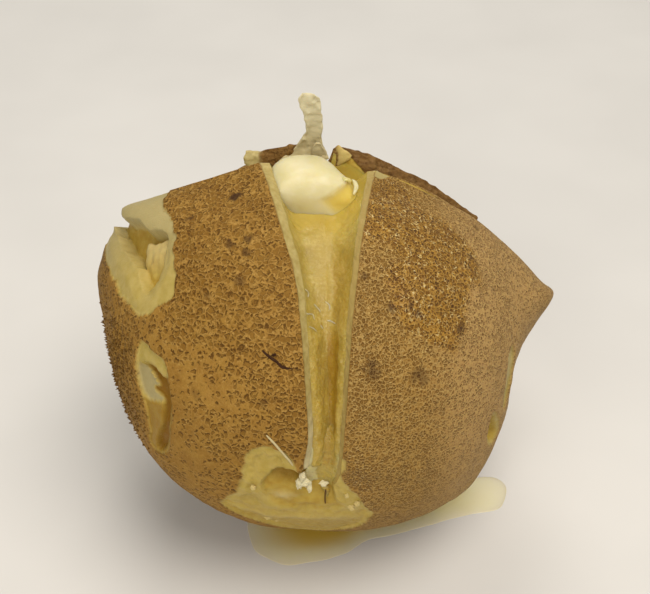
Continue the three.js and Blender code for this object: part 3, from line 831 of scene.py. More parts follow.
def lumps(p):
    """Relief of the torn flesh in mm: broad swellings, lumps of a few millimetres and fine grain."""
    relief = 0.42 * smooth_noise(p, 5.0, 81) + 0.22 * rough_noise(p, 1.8, 82)
    return relief + 0.05 * smooth_noise(p, 0.5, 83)


def inner_lip(name, side):
    """The points where the flesh meets the rind of a quarter's shell along one of its lips."""
    edge = shells[name][1 if side == "before" else 3]["p"]
    return edge[:, -1] if side == "before" else edge[:, 0]


def slit_floor(slit):
    """The crease, filled up, but nowhere above the rind on either side of it."""
    crease = along(SLITS[slit]["crease"], SHARE_SLIT) - MIDDLE
    fill = np.interp(SHARE_SLIT, *np.array(FILL[slit]).T)
    uneven = 1 + 0.25 * smooth_noise(crease, 4.0, 84) * step(0, 0.1, SHARE_SLIT)
    r = np.linalg.norm(crease, axis=-1) + fill * uneven
    lips = [
        np.linalg.norm(inner_lip(name, side)[:ROWS_SLIT] - MIDDLE, axis=-1)
        for name, (before, after) in QUARTERS.items()
        for s, side in ((before, "after"), (after, "before")) if s == slit
    ]
    lowest = np.minimum(*lips)
    if slit == "front":  # it runs out into the front tear
        closed = step(*FRONT_CLOSES, SHARE_SLIT)
        r = r * (1 - closed) + np.maximum(r, lowest - 1.0) * closed
    r = np.minimum(r, lowest - 0.02)
    return MIDDLE + unit(crease) * r[:, None]


FLOORS = {slit: slit_floor(slit) for slit in SLITS}


def cut_face(name, side):
    """Points over a cut face, its bottom first. A place a share t of the way across to the inner lip lies
    t^k of the way up, where k is 1 in a sharp slit, 3 in a round trough and 8 under an overhanging rind.
    A sharp slit's sides swell by t sin(pi t) and are hollowed near the bottom by (1 - t) sin(pi t), most
    on the right of the front one."""
    slit = QUARTERS[name][0 if side == "after" else 1]
    floor = FLOORS[slit][:, None]
    lip = inner_lip(name, side)[:ROWS_SLIT][:, None]
    t = np.linspace(0, 1, FACE_COLUMNS + 1)[None, :, None]
    p = floor * (1 - t) + lip * t
    deep = np.linalg.norm(lip - floor, axis=-1, keepdims=True)
    sharp = step(*TROUGH_SHARE, SHARE_SLIT)[:, None, None]
    power = 8 if (name, side) == ("front_left", "before") else 3
    rise = np.linalg.norm(lip - MIDDLE, axis=-1, keepdims=True)
    rise = rise - np.linalg.norm(floor - MIDDLE, axis=-1, keepdims=True)
    p = p + unit(MIDDLE - p) * np.maximum(rise, 0) * (t - t ** (power - (power - 1) * sharp))
    turn = 1 if side == "after" else -1
    out = unit(np.cross(turn * np.gradient(lip[:, 0], axis=0), (lip - floor)[:, 0]))[:, None]
    loose = FREE[:ROWS_SLIT, :, None] * np.minimum(1, deep / 4)
    belly = 1.6 * t * np.sin(np.pi * t) * CUT_BULGE * np.minimum(1, deep / 8)
    shadowed = (name, side) == ("front_right", "after")
    trough = (0.22 if shadowed else 0.06) * deep * (1 - t) * np.sin(np.pi * t)
    p = p + out * (belly - trough) * FREE[:ROWS_SLIT, :, None] * (0.2 + 0.8 * sharp)
    p = p + out * lumps(p)[..., None] * np.minimum(1, 4 * t * (1 - t)) * loose
    share = SHARE_SLIT[:, None]
    # Painted shade, partly the colour of wet flesh: the front slit's right face, which lies in shadow, is
    # darker gold in a strip low down and fainter higher up.
    strip = step(0.50, 0.56, share) * step(0.66, 0.58, t[..., 0])
    golden_and_shade = 0.5 * step(0.22, 0.36, share) * step(0.12, 0.35, t[..., 0]) * step(0.6, 0.45, share)
    gold = np.maximum(strip, golden_and_shade) if shadowed else 0 * t[..., 0]
    return p, deep[..., 0], gold + 0 * deep[..., 0]


def buttered(p):
    """0 to 1: where melted butter has run over the flesh."""
    near = [np.exp(-((np.linalg.norm(p - np.array(at), axis=-1) / size) ** 2)) for at, size in BUTTERED]
    return np.clip(1.3 * np.max(near, axis=0), 0, 1)


def flesh_grids():
    grids = []
    for name in QUARTERS:
        face_a, deep_a, gold_and_shade_a = cut_face(name, "after")
        face_b, deep_b, gold_and_shade_b = cut_face(name, "before")
        outer = shells[name][0]["p"]
        columns = outer.shape[1] - 1
        across = np.linspace(0, columns, HIDDEN_COLUMNS + 1).round().astype(int)
        n, whole, _, _ = quarter_directions(name, columns)
        n, whole = n[:, across], whole[:, across]
        u = np.linspace(0, 1, HIDDEN_COLUMNS + 1)[None]
        sink = RIND + SUNK * np.sin(np.pi * u) ** 0.6
        under = np.concatenate([np.zeros(ROWS_SLIT), step(0, 0.2, SHARE_UNDER)])[:, None]
        tip = np.minimum(1, np.arange(len(under)) / TIP_FADE_ROWS)[:, None]
        hidden = MIDDLE + n * (whole - np.maximum(sink * tip, (RIND + SUNK) * under))[..., None]
        hidden[:ROWS_SLIT, 0] = face_a[:, -1]
        hidden[:ROWS_SLIT, -1] = face_b[:, -1]
        hidden[0] = face_a[0, -1]
        hidden[ROWS_SLIT, [0, -1]] = np.stack([outer[ROWS_SLIT, 0], outer[ROWS_SLIT, -1]])
        hidden[ROWS_SLIT, [0, -1]] += (MIDDLE - hidden[ROWS_SLIT, [0, -1]]) * TUCKED_IN
        t = np.linspace(0, 1, FACE_COLUMNS + 1)[None]
        far = np.concatenate([SHARE_SLIT, [1.0]])[:, None]
        for face, deep, gold, at in ((face_a, deep_a, gold_and_shade_a, 0), (face_b, deep_b, gold_and_shade_b, -1)):
            last = hidden[ROWS_SLIT, at][None, None] + np.zeros((1, FACE_COLUMNS + 1, 1))
            nothing = np.zeros((1, FACE_COLUMNS + 1))
            p = np.concatenate([face, last])
            below = np.concatenate([deep * (1 - t), nothing]) / DEEPEST_SLIT
            gold = np.concatenate([gold, nothing])
            values = {"p": p, "below": below, "gold": gold, "buttered": buttered(p),
                      "far": far + 0 * below}
            grids.append({k: v[:, ::-1] for k, v in values.items()} if at else values)
        grids.append({"p": hidden, "below": 1.0})
    return grids


flesh_made = flesh_grids()
print("flesh made of", len(flesh_made), "grids")

# %% [markdown]
# Now the finishes. Small helpers make nodes with their settings and links, and one turns the hex colours
# that people write down, which are sRGB, into the linear values that a renderer adds and multiplies.
# %% Colour and nodes


def linear(hex_colour):
    """sRGB to linear: c / 12.92 where c is small, otherwise ((c + 0.055) / 1.055)^2.4."""
    c = np.array([int(hex_colour[k:k + 2], 16) for k in (1, 3, 5)]) / 255
    c = np.where(c <= 0.04045, c / 12.92, ((c + 0.055) / 1.055) ** 2.4)
    return (*c, 1.0)


def add_node(tree, kind, settings=None, **inputs):
    """A shader node of a kind. settings are its own options; each input is a value, or another node's
    socket. An input named i0, i1 and so on is found by its number."""
    node = tree.nodes.new("ShaderNode" + kind)
    for key, value in (settings or {}).items():
        setattr(node, key, value)
    for key, value in inputs.items():
        socket = node.inputs[int(key[1:])] if key[0] == "i" and key[1:].isdigit() else node.inputs[key]
        if isinstance(value, bpy.types.NodeSocket):
            tree.links.new(value, socket)
        else:
            socket.default_value = value
    return node


def bump_of(tree, height, strength, metres):
    return add_node(tree, "Bump", None, Height=height, Strength=strength, Distance=metres)


def start_material(name):
    material = bpy.data.materials.new(name)
    material.use_nodes = True
    tree = material.node_tree
    tree.nodes.clear()
    return material, tree


def finish_material(tree, colour, roughness, bump=None, coat=None, **settings):
    """Ends a material with its one shader. A bump gives the normals, of the coat as well if it has one."""
    settings = {"Base Color": colour, "Roughness": roughness, **settings}
    if bump:
        settings["Normal"] = bump.outputs["Normal"]
    if coat is not None:
        settings.update({"Coat Weight": coat, "Coat Normal": bump.outputs["Normal"]})
    shader = add_node(tree, "BsdfPrincipled", None, **settings)
    add_node(tree, "OutputMaterial", None, Surface=shader.outputs["BSDF"])


def value_of(tree, name):
    return add_node(tree, "Attribute", {"attribute_name": name}).outputs["Fac"]


def blended(tree, share, a, b):
    """Colour a where share is 0 and b where it is 1. a and b are hex colours or sockets."""
    a = linear(a) if isinstance(a, str) else a
    b = linear(b) if isinstance(b, str) else b
    mix = add_node(tree, "Mix", {"data_type": "RGBA"}, i0=share, i6=a, i7=b)
    return mix.outputs[2]


def between(tree, share, a, b):
    """The number a where share is 0 and b where it is 1."""
    return add_node(tree, "Mix", {"data_type": "FLOAT"}, i0=share, i2=a, i3=b).outputs[0]


def noise_of(tree, size_mm, detail=2.0, low=0.35, high=0.65):
    """Noise of a size in mm on the piece's own coordinates, stretched so that low is 0 and high is 1."""
    noise = add_node(tree, "TexNoise", None, Vector=own_place(tree), Scale=1000 / size_mm,
                     Detail=detail)
    limits = {"From Min": low, "From Max": high}
    return add_node(tree, "MapRange", None, Value=noise.outputs["Fac"], **limits).outputs[0]


def math_of(tree, operation, a, b):
    """A sum, difference or product, kept between 0 and 1."""
    settings = {"operation": operation, "use_clamp": True}
    return add_node(tree, "Math", settings, i0=a, i1=b).outputs[0]


def times_plus(tree, a, b, c):
    """a * b + c, not kept between any limits."""
    return add_node(tree, "Math", {"operation": "MULTIPLY_ADD"}, i0=a, i1=b, i2=c).outputs[0]


def painted(tree, colour, *layers):
    """Layers (share, strength, colour) laid over a colour one after another."""
    for share, strength, tint in layers:
        colour = blended(tree, math_of(tree, "MULTIPLY", share, strength), colour, tint)
    return colour


def vector_of(tree, operation, a, b):
    return add_node(tree, "VectorMath", {"operation": operation}, i0=a, i1=b).outputs[0]


def own_place(tree):
    """Where a point lies in its piece's own coordinates, in metres."""
    return add_node(tree, "TexCoord").outputs["Object"]


print("a tan as linear:", np.round(linear("#a5813f"), 3))

# %% [markdown]
# The skin of a baked potato is cork, a few cells thick, gone dry and leathery. It has hardly any gloss
# where it is dry, and a soft one where butter has soaked in. Its colour comes from the net: tan threads,
# brown sunken cells with painted shade under their upper walls and painted light on their lower walls,
# painted glints where butter has soaked in, and larger patches that caught more or less heat. The same
# material carries the bare rind and the torn flesh, because on a real potato they grade into each other;
# the values stored at the face corners say how much of each there is, and where painted shade darkens the
# torn hollows.
# %% Material: baked potato skin
PIT_SLOPE = 0.13  # how far a pit's wall reaches, as a share of a cell
NET_LEFT = (0.98, 1.15, 0.24)  # cell, wander and shade in mm
NET_RIGHT = (0.66, 0.66, 0.15)
SKIN_RELIEF = 0.00016  # metres
FINE_RELIEF = 0.0001
WET_ROUGHNESS = 0.12


def drifting(tree, place, size_mm, reach_mm):
    """The place moved by up to about a quarter of reach_mm, in swirls of a size in mm."""
    swirl = add_node(tree, "TexNoise", None, Vector=place, Scale=1000 / size_mm, Detail=2.0)
    drift = vector_of(tree, "SUBTRACT", swirl.outputs["Color"], (0.5, 0.5, 0.5))
    drift = add_node(tree, "VectorMath", {"operation": "SCALE"}, i0=drift, Scale=reach_mm * MM)
    return vector_of(tree, "ADD", place, drift.outputs[0])


def to_wall(tree, place, scale):
    """Distance to the nearest wall between two cells."""
    edges = {"feature": "DISTANCE_TO_EDGE"}
    return add_node(tree, "TexVoronoi", edges, Vector=place, Scale=scale).outputs["Distance"]


def skin_net(tree, cell_mm, wander_mm, shade_mm):
    """Cells of a size in mm with crooked walls: how near a place is to a wall, how near a place shade_mm
    higher up is, and a random number for the cell."""
    broad = drifting(tree, own_place(tree), 1.5 * cell_mm, wander_mm)
    place = drifting(tree, broad, 0.42 * cell_mm, 0.75 * cell_mm)
    above = vector_of(tree, "ADD", place, (0, 0, shade_mm * MM))
    scale = 1000 / cell_mm
    cell = add_node(tree, "TexVoronoi", {"feature": "F1"}, Vector=place, Scale=scale)
    mark = add_node(tree, "SeparateColor", None, Color=cell.outputs["Color"]).outputs["Red"]
    return to_wall(tree, place, scale), to_wall(tree, above, scale), mark


def ramp(tree, value, low, high, to_low=0.0, to_high=1.0):
    """Turns low..high into to_low..to_high, smoothly, and keeps it there beyond."""
    limits = {"From Min": low, "From Max": high, "To Min": to_low, "To Max": to_high}
    smooth = {"interpolation_type": "SMOOTHSTEP"}
    return add_node(tree, "MapRange", smooth, Value=value, **limits).outputs["Result"]


def pits(tree, net, share, widest, narrowest):
    """Pits inside the cells of a net, as 0 to 1: their floors, the shadow under their upper walls, and the
    light on the walls below them. Where share is 1 they begin at the distance widest from the cell's
    wall, and where it is 0 at the distance narrowest."""
    floor, floor_above = [
        ramp(tree, times_plus(tree, share, narrowest - widest, wall), narrowest, narrowest + PIT_SLOPE)
        for wall in net[:2]
    ]
    shadow = math_of(tree, "SUBTRACT", floor, floor_above)
    lit = math_of(tree, "SUBTRACT", floor_above, floor)
    return floor, shadow, lit


def left_skin(tree, dense, patch, mottle):
    """Coarse skin: sunken pits about 0.9 mm wide, with painted shade under their upper walls and painted
    light on the walls below them.
    """
    net = skin_net(tree, *NET_LEFT)
    amount = ramp(tree, times_plus(tree, dense, 0.95, net[2]), 0.45, 1.35)
    floor, shadow, lit = pits(tree, net, amount, 0.03, 0.36)
    colour = painted(
        tree, blended(tree, patch, "#8e6a29", "#9c7733"),
        (mottle, 0.45, "#7b5418"),
        (ramp(tree, net[0], 0.10, 0.0), 0.30, "#a98445"),
        # painted light on the walls below the pits
        (lit, 0.55, "#b08c49"),
        (floor, 0.5, "#6a4811"),
        # painted shade under the pits' upper walls
        (shadow, 0.8, "#472c08"),
    )
    return colour, floor


def right_skin(tree, dense, patch, mottle):
    """A finer, lighter net. Each cell about 0.65 mm wide is sunk round a raised middle, with painted shade
    under its upper wall and painted light on its lower wall. Where butter has soaked in, it is darker and
    has small painted glints."""
    net = skin_net(tree, *NET_RIGHT)
    amount = ramp(tree, times_plus(tree, dense, 0.6, net[2]), 0.2, 1.2)
    floor, shadow, lit = pits(tree, net, amount, 0.04, 0.22)
    ring = math_of(tree, "MULTIPLY", floor, ramp(tree, net[0], 0.34, 0.20))
    dry = painted(
        tree, blended(tree, patch, "#89662d", "#967235"),
        (mottle, 0.4, "#765423"),
        (value_of(tree, "dusty"), 0.55, "#ba9765"),
        (ramp(tree, net[0], 0.12, 0.02), 0.5, "#b39657"),
        # painted light on the walls below the pits
        (lit, 0.4, "#c2a669"),
        (ring, 0.42, "#664618"),
        # painted shade under the pits' upper walls
        (shadow, 0.65, "#4f3411"),
    )
    buttery = painted(
        tree, blended(tree, noise_of(tree, 1.3, 3.0, 0.4, 0.6), "#7a5318", "#936b24"),
        (floor, 0.35, "#5e3b08"),
        (ramp(tree, net[0], 0.11, 0.02), 0.5, "#b99548"),
        # painted shade under the pits' upper walls
        (shadow, 0.8, "#361f06"),
        # painted glints: pale flecks on the lit lower walls of the soaked skin
        (math_of(tree, "MULTIPLY", lit, noise_of(tree, 1.1, 2.0, 0.48, 0.62)), 0.75, "#dfcd92"),
    )
    return blended(tree, value_of(tree, "soaked"), dry, buttery), ring


def plain_skin(tree):
    """The brown of loose skin and of the skin's edge, streaked along the right slit."""
    place = vector_of(tree, "MULTIPLY", own_place(tree), (0.25, 1.0, 1.0))
    streaks = add_node(tree, "TexNoise", None, Vector=place, Scale=1400.0, Detail=3.0)
    return blended(tree, ramp(tree, streaks.outputs["Fac"], 0.35, 0.65), "#583b17", "#795a30")


def bare_rind(tree, coarse, pale):
    """Cream rind, its cut edge with a brown line next to the skin, and torn flesh with painted shade in its
    hollows.
    """
    cream = blended(tree, noise_of(tree, 1.6, 2.0), "#a59046", "#b09b56")
    cream = blended(tree, pale, cream, "#9e926a")
    edge = blended(tree, noise_of(tree, 0.9, 2.0), "#9f8d52", "#ae9d64")
    edge = blended(tree, coarse, "#a08a50", edge)
    edge = blended(tree, pale, edge, "#cdc4a0")
    edge = blended(tree, ramp(tree, value_of(tree, "rim_depth"), 0.2, 0.0), edge, "#7d6332")
    rind = blended(tree, value_of(tree, "rim"), cream, edge)
    flesh = blended(tree, noise_of(tree, 1.3, 3.0), "#a98a35", "#b59c47")
    flesh = blended(tree, pale, flesh, "#cbbd8a")
    # painted shade where the flesh lies in hollows, pockets and gaps
    flesh = blended(tree, value_of(tree, "dark"), flesh, "#7c570f")
    return blended(tree, value_of(tree, "flesh"), rind, flesh)


def potato_skin_material():
    material, tree = start_material("baked_potato_skin_and_rind")
    dense = value_of(tree, "dense")
    coarse = value_of(tree, "coarse")
    soaked = value_of(tree, "soaked")
    bare = value_of(tree, "bare")
    patch = noise_of(tree, 9.0, 3.0, 0.3, 0.7)
    mottle = noise_of(tree, 2.2, 3.0, 0.38, 0.62)
    grain = noise_of(tree, 0.28, 2.0, 0.3, 0.7)
    left, pit = left_skin(tree, dense, patch, mottle)
    right, ring = right_skin(tree, dense, patch, mottle)
    skin = blended(tree, coarse, right, left)
    skin = blended(tree, value_of(tree, "plain"), skin, plain_skin(tree))
    skin = painted(tree, skin, (grain, 0.22, "#5d3b10"))
    skin = blended(tree, value_of(tree, "stain"), skin, "#38200e")
    colour = blended(tree, bare, skin, bare_rind(tree, coarse, value_of(tree, "pale")))

    sunk = between(tree, coarse, math_of(tree, "MULTIPLY", ring, 0.7), pit)
    sunk = math_of(tree, "MULTIPLY", sunk, math_of(tree, "SUBTRACT", 1.0, bare))
    relief = times_plus(tree, grain, 0.22, math_of(tree, "SUBTRACT", 1.0, sunk))
    bump = bump_of(tree, relief, 0.9, SKIN_RELIEF)
    rough = between(tree, bare, between(tree, soaked, 0.7, 0.45), 0.38)
    finish_material(tree, colour, rough, bump, coat=math_of(tree, "MULTIPLY", soaked, 0.12), **{
        "Coat Roughness": 0.2, "Specular IOR Level": 0.14, "Subsurface Weight": 0.10,
        "Subsurface Radius": (1.0, 0.6, 0.3), "Subsurface Scale": 0.0008})
    return material


SKIN = potato_skin_material()
for name, grids in shells.items():
    make_piece("skin_" + name, grids, SKIN)

# %% [markdown]
# Steamed flesh is soft, waxy yellow and full of water, so light goes some way into it and comes out warmer.
# Where butter has run over it, it is glossy and deeper in colour.
# %% Material: steamed potato flesh


def potato_flesh_material():
    """Yellow, deeper in colour far from the crossing, darker down in the slits by painted shade, darker
    gold on the right face of the front slit, partly wet flesh and partly painted shade, and golden where
    butter has soaked in.
    """
    material, tree = start_material("steamed_potato_flesh")
    film = value_of(tree, "buttered")
    near = blended(tree, noise_of(tree, 2.4, 3.0), "#ae994b", "#a28c3b")
    outer = blended(tree, noise_of(tree, 2.0, 3.0), "#ac9139", "#a08532")
    golden_and_shade = blended(tree, noise_of(tree, 2.0), "#97741b", "#a17f24")
    colour = painted(
        tree, blended(tree, ramp(tree, value_of(tree, "far"), 0.25, 0.75), near, outer),
        # painted shade: darker the deeper down a slit
        (value_of(tree, "below"), 0.5, "#a08030"),
        (noise_of(tree, 0.5, 2.0, 0.45, 0.7), 0.22, "#d8c888"),
        # the front slit's right face, which lies in shadow: darker gold, partly wet flesh, partly painted
        # shade
        (value_of(tree, "gold"), 1.0, golden_and_shade),
        (value_of(tree, "pale"), 1.0, "#cfbf86"),
        (film, 0.75, "#bda448"),
    )
    relief = times_plus(tree, noise_of(tree, 0.6, 3.0), 1.0, noise_of(tree, 0.2, 1.0))
    smoothed = add_node(tree, "MapRange", None, Value=film, **{"To Min": 0.5, "To Max": 0.15})
    bump = bump_of(tree, relief, smoothed.outputs["Result"], FINE_RELIEF)
    dull = add_node(tree, "MapRange", None, Value=noise_of(tree, 3.0, 2.0),
                    **{"To Min": 0.3, "To Max": 0.6})
    rough = between(tree, film, dull.outputs["Result"], WET_ROUGHNESS)
    finish_material(tree, colour, rough, bump, coat=0.2, IOR=1.4, **{
        "Coat Roughness": 0.15, "Subsurface Weight": 0.5, "Subsurface Radius": (1.0, 0.7, 0.25),
        "Subsurface Scale": 0.0025})
    return material


FLESH = potato_flesh_material()
make_piece("flesh", flesh_made, FLESH)

# %% [markdown]
# Thin pieces stand up or hang at the crossing: a shred of rind with a fold at its foot, a lifted curl, a
# small peak and a strip of loose skin; and a tongue of flesh closes the front slit's lower end. Each is a
# sheet stretched between two edges that are drawn as curves, and thick in its middle, so its two sides
# meet at all four borders and it is closed.
# %% Sheets between two edges


RIM = {"bare": 1.0, "rim": 1.0, "rim_depth": 1.0}


def sheet_grids(edge_a, edge_b, thickness, rows, columns, ragged, seed, bend, look=RIM):
    """Middle = a (1 - u) + b u, bent by sin(pi u); each side stands off it by half the thickness times
    sqrt(1 - (2u - 1)^6), and less near the two ends."""
    s = np.linspace(0, 1, rows + 1)
    u = np.linspace(0, 1, columns + 1)[None, :, None]
    a = along(edge_a, s)[:, None]
    b = along(edge_b, s)[:, None]
    middle = a * (1 - u) + b * u
    n = grid_normals(middle)
    wander = np.stack([smooth_noise(middle, 0.9, seed + k) for k in range(3)], axis=-1)
    middle = middle + ragged * wander + bend * np.sin(np.pi * u) * n
    full = np.sqrt(np.clip(1 - (2 * u[..., 0] - 1) ** 6, 0, 1))
    full = full * np.sqrt(np.clip(1 - (2 * s[:, None] - 1) ** 8, 0, 1))
    full = full * (1 + 0.25 * smooth_noise(middle, 1.6, seed + 5))
    grain = 0.08 * full * smooth_noise(middle, 0.7, seed + 6)
    front = middle + n * (0.5 * thickness * full + grain)[..., None]
    back = middle - n * (0.5 * thickness * full)[..., None]
    return [{"p": front, **look}, {"p": back[:, ::-1], **look}]


TONGUE_LEFT = [
    (1.0, -32.6, 43.6), (0.8, -34.6, 40.5), (0.3, -35.2, 37.0), (-0.3, -35.2, 35.0),
    (-0.8, -34.8, 33.0), (-0.8, -34.7, 31.0), (0.2, -34.1, 29.0),
]
TONGUE_RIGHT = [
    (5.2, -32.6, 43.6), (5.3, -34.7, 40.5), (5.4, -35.3, 37.0), (5.4, -35.4, 35.0),
    (5.3, -35.4, 33.0), (5.2, -35.1, 31.0), (5.0, -34.2, 29.0),
]
tongue = sheet_grids(TONGUE_LEFT, TONGUE_RIGHT, 0.4, rows=90, columns=40, ragged=0.10, seed=85, bend=-1.2)
for side in tongue:
    x, z = side["p"][..., 0], side["p"][..., 2]
    left_edge = np.interp(z, [29, 33, 37, 43.6], [0.2, -0.8, 0.3, 1.0])
    from_left = x - left_edge + 0.6 * rough_noise(side["p"], 1.4, 87)
    # The front slit's shaded strip runs on into the tongue in darker gold: partly wet flesh, partly painted
    # shade.
    side.update({"gold": step(2.3, 2.7, x) * step(4.9, 4.5, x) * step(34.6, 36.2, z), "far": 1.0,
                 "below": 0.1, "buttered": 0.25,
                 "pale": np.maximum(step(2.0, 1.6, from_left), 0.4 * step(4.6, 5.1, x))})
make_piece("slit_end_flesh", tongue, FLESH)

SHRED_LEFT = [
    (-6.7, 10.5, 66.4), (-4.6, 12.0, 67.7), (-2.5, 12.6, 69.4), (-1.2, 12.3, 71.7),
    (-0.6, 12.1, 73.4), (-0.8, 11.8, 75.2), (-1.1, 11.4, 77.1), (-1.6, 11.1, 78.9),
    (-1.9, 11.0, 80.1), (-1.2, 11.0, 81.3),
]
SHRED_RIGHT = [
    (3.6, 11.0, 67.8), (2.9, 12.4, 69.1), (2.4, 12.3, 71.7), (2.6, 12.1, 73.8), (2.5, 11.8, 75.8),
    (2.3, 11.4, 77.7), (2.1, 11.1, 79.2), (2.0, 11.0, 80.5), (1.2, 11.0, 81.1),
]
shred = sheet_grids(SHRED_LEFT, SHRED_RIGHT, 0.75, rows=130, columns=44, ragged=0.24, seed=91, bend=0.35)
for side in shred:
    side["pale"] = 0.45 + 0.55 * step(67.5, 77.0, side["p"][..., 2])
make_piece("standing_shred", shred, SKIN)

FOLD_LEFT = [(0.4, 11.8, 67.8), (0.5, 11.6, 69.4), (0.8, 11.5, 70.5), (1.3, 11.5, 71.0)]
FOLD_RIGHT = [(3.6, 11.8, 67.6), (3.1, 11.6, 69.2), (2.5, 11.5, 70.4), (2.0, 11.5, 71.0)]
shred_fold = sheet_grids(FOLD_LEFT, FOLD_RIGHT, 0.8, rows=40, columns=24, ragged=0.15, seed=101,
                         bend=0.2, look={**RIM, "pale": 0.6})
make_piece("shred_fold", shred_fold, SKIN)

CURL_LOW = [
    (-11.9, 11.3, 66.6), (-10.3, 11.0, 65.6), (-8.8, 10.5, 64.2), (-7.0, 10.5, 64.2),
    (-4.8, 11.6, 66.0), (-2.4, 12.7, 68.6),
]
CURL_HIGH = [
    (-11.6, 12.5, 68.6), (-9.7, 12.8, 68.6), (-8.4, 13.0, 68.4), (-6.7, 13.0, 68.9),
    (-4.6, 13.1, 69.3), (-2.2, 13.2, 69.7),
]
curl = sheet_grids(CURL_LOW, CURL_HIGH, 0.6, rows=90, columns=30, ragged=0.22, seed=111, bend=0.3)
for side in curl:
    browned = step(-9.4, -8.3, side["p"][..., 0] + 0.5 * smooth_noise(side["p"], 1.0, 112))
    side.update({"bare": 1 - browned, "coarse": 1.0, "dense": 0.7, "pale": 0.1, "plain": 0.8})
make_piece("lifted_curl", curl, SKIN)

LOOSE_LOW = [
    (5.9, 12.0, 68.8), (7.8, 11.4, 67.7), (10.0, 10.8, 65.2), (12.4, 9.8, 62.1), (17.0, 9.4, 59.0),
    (22.0, 9.6, 56.8), (27.0, 10.8, 55.2), (31.4, 12.2, 53.3),
]
LOOSE_HIGH = [
    (5.6, 13.0, 69.1), (7.5, 13.5, 68.4), (11.1, 13.5, 67.3), (14.8, 13.5, 65.4),
    (17.5, 13.5, 63.8), (21.3, 13.5, 61.8), (25.9, 13.4, 58.3), (31.6, 13.0, 53.9),
]
loose = sheet_grids(LOOSE_LOW, LOOSE_HIGH, 0.35, rows=220, columns=24, ragged=0.13, seed=121, bend=0.35,
                    look={"plain": 0.9, "soaked": 0.3})
make_piece("loose_skin", loose, SKIN)

PEAK_LOW = [(3.3, 10.6, 66.9), (4.4, 10.5, 65.7), (5.8, 10.5, 66.9), (7.4, 10.8, 67.8)]
PEAK_HIGH = [(4.4, 11.6, 69.6), (5.2, 11.7, 70.2), (6.5, 11.4, 69.6), (7.8, 11.1, 68.5)]
peak = sheet_grids(PEAK_LOW, PEAK_HIGH, 0.5, rows=50, columns=24, ragged=0.16, seed=131, bend=0.2)
for side in peak:
    rind_side = step(4.9, 5.4, side["p"][..., 0] + 0.3 * smooth_noise(side["p"], 0.8, 132))
    side.update({"bare": rind_side, "plain": 0.6, "dense": 0.8, "flesh": 1.0, "pale": 0.35})
make_piece("rind_peak", peak, SKIN)

# %% [markdown]
# Butter softens from the outside in. The pat keeps a rounded top and is still pale and matt. Its front
# right corner has gone glassy and yellow, and a sliver and a fold of butter hang there.
# %% The pat of butter
BUTTER_PLAN = [
    (-5.6, -2.9), (-6.3, -0.6), (-6.8, 1.7), (-7.2, 4.0), (-6.4, 6.2), (-4.0, 7.8), (-1.0, 8.2),
    (1.8, 8.0), (4.6, 6.4), (7.0, 3.6), (8.8, 0.9), (8.6, -1.0), (6.2, -2.1), (2.6, -2.4),
    (-1.4, -2.6),
]
BUTTER_MIDDLE = np.array([0.9, 2.6, 65.7])
BUTTER_HALF_HEIGHT = 6.2
BUTTER_SQUARENESS = 3.4
BUTTER_IOR = 1.46
BUTTER_SCATTER = (1.0, 0.8, 0.35)  # how far red, green and blue light go into it, as shares of the longest


def butter_grid(rows=120):
    """The pat's plan, drawn in towards its middle as a superellipse of height: where the angle is e, the
    plan's share is cos(e)^(2/k) and the height sin(e)^(2/k). The right side has slumped and the front right
    corner, which has melted, is dented."""
    rise = np.pi * (0.5 - np.arange(rows + 1) / rows)[:, None]
    share = np.cos(rise).clip(0, 1) ** (2 / BUTTER_SQUARENESS)
    height = np.sign(rise) * np.abs(np.sin(rise)) ** (2 / BUTTER_SQUARENESS)
    plan = smooth_loop(BUTTER_PLAN, 12)
    plan = np.vstack([plan, plan[:1]]) - BUTTER_MIDDLE[:2]
    flat = share[..., None] * plan
    away = unit(np.dstack([flat / 7, 0.8 * height + 0 * flat[..., 0]]))
    x, y = flat[..., 0] + BUTTER_MIDDLE[0], flat[..., 1] + BUTTER_MIDDLE[1]
    upper = step(-0.2, 0.8, height)
    slumped = upper * (1.6 * step(1.0, 8.0, x) + 0.8 * step(1.5, -3.0, y))
    z = BUTTER_MIDDLE[2] + BUTTER_HALF_HEIGHT * height - slumped
    p = np.dstack([x, y, z])
    corner = x - 1.2 - 1.8 * np.hypot(z - 67.6, 1.0) - 0.6 * (z - 67.6)
    melted = step(-1.4, 1.8, corner + 0.7 * smooth_noise(p, 2.2, 141)) * step(3.0, 0.6, y)
    relief = 0.16 * smooth_noise(p, 4.2, 142) + 0.04 * smooth_noise(p, 1.4, 143)
    relief = relief - 0.5 * melted + 0.16 * melted * smooth_noise(p, 1.5, 144)
    p = closed_ball(p + away * relief[..., None])
    return {"p": p[:, ::-1], "melted": melted[:, ::-1]}


def butter_material():
    """Butter: fat with fine droplets of water, so light scatters in it and it glows pale yellow. Melted,
    it has lost the droplets and is a clear golden oil."""
    material, tree = start_material("salted_butter")
    melted = value_of(tree, "melted")
    pale = blended(tree, noise_of(tree, 3.0, 2.0), "#cac08e", "#cfc69c")
    colour = blended(tree, melted, pale, "#cdb658")
    bump = bump_of(tree, noise_of(tree, 1.0, 2.0), 0.25, FINE_RELIEF)
    finish_material(tree, colour, between(tree, melted, 0.42, 0.1), bump, IOR=BUTTER_IOR, **{
        "Subsurface Weight": 0.6, "Subsurface Radius": BUTTER_SCATTER, "Subsurface Scale": 0.003})
    return material


BUTTER = butter_material()
make_piece("butter_pat", [butter_grid()], BUTTER, "butter")

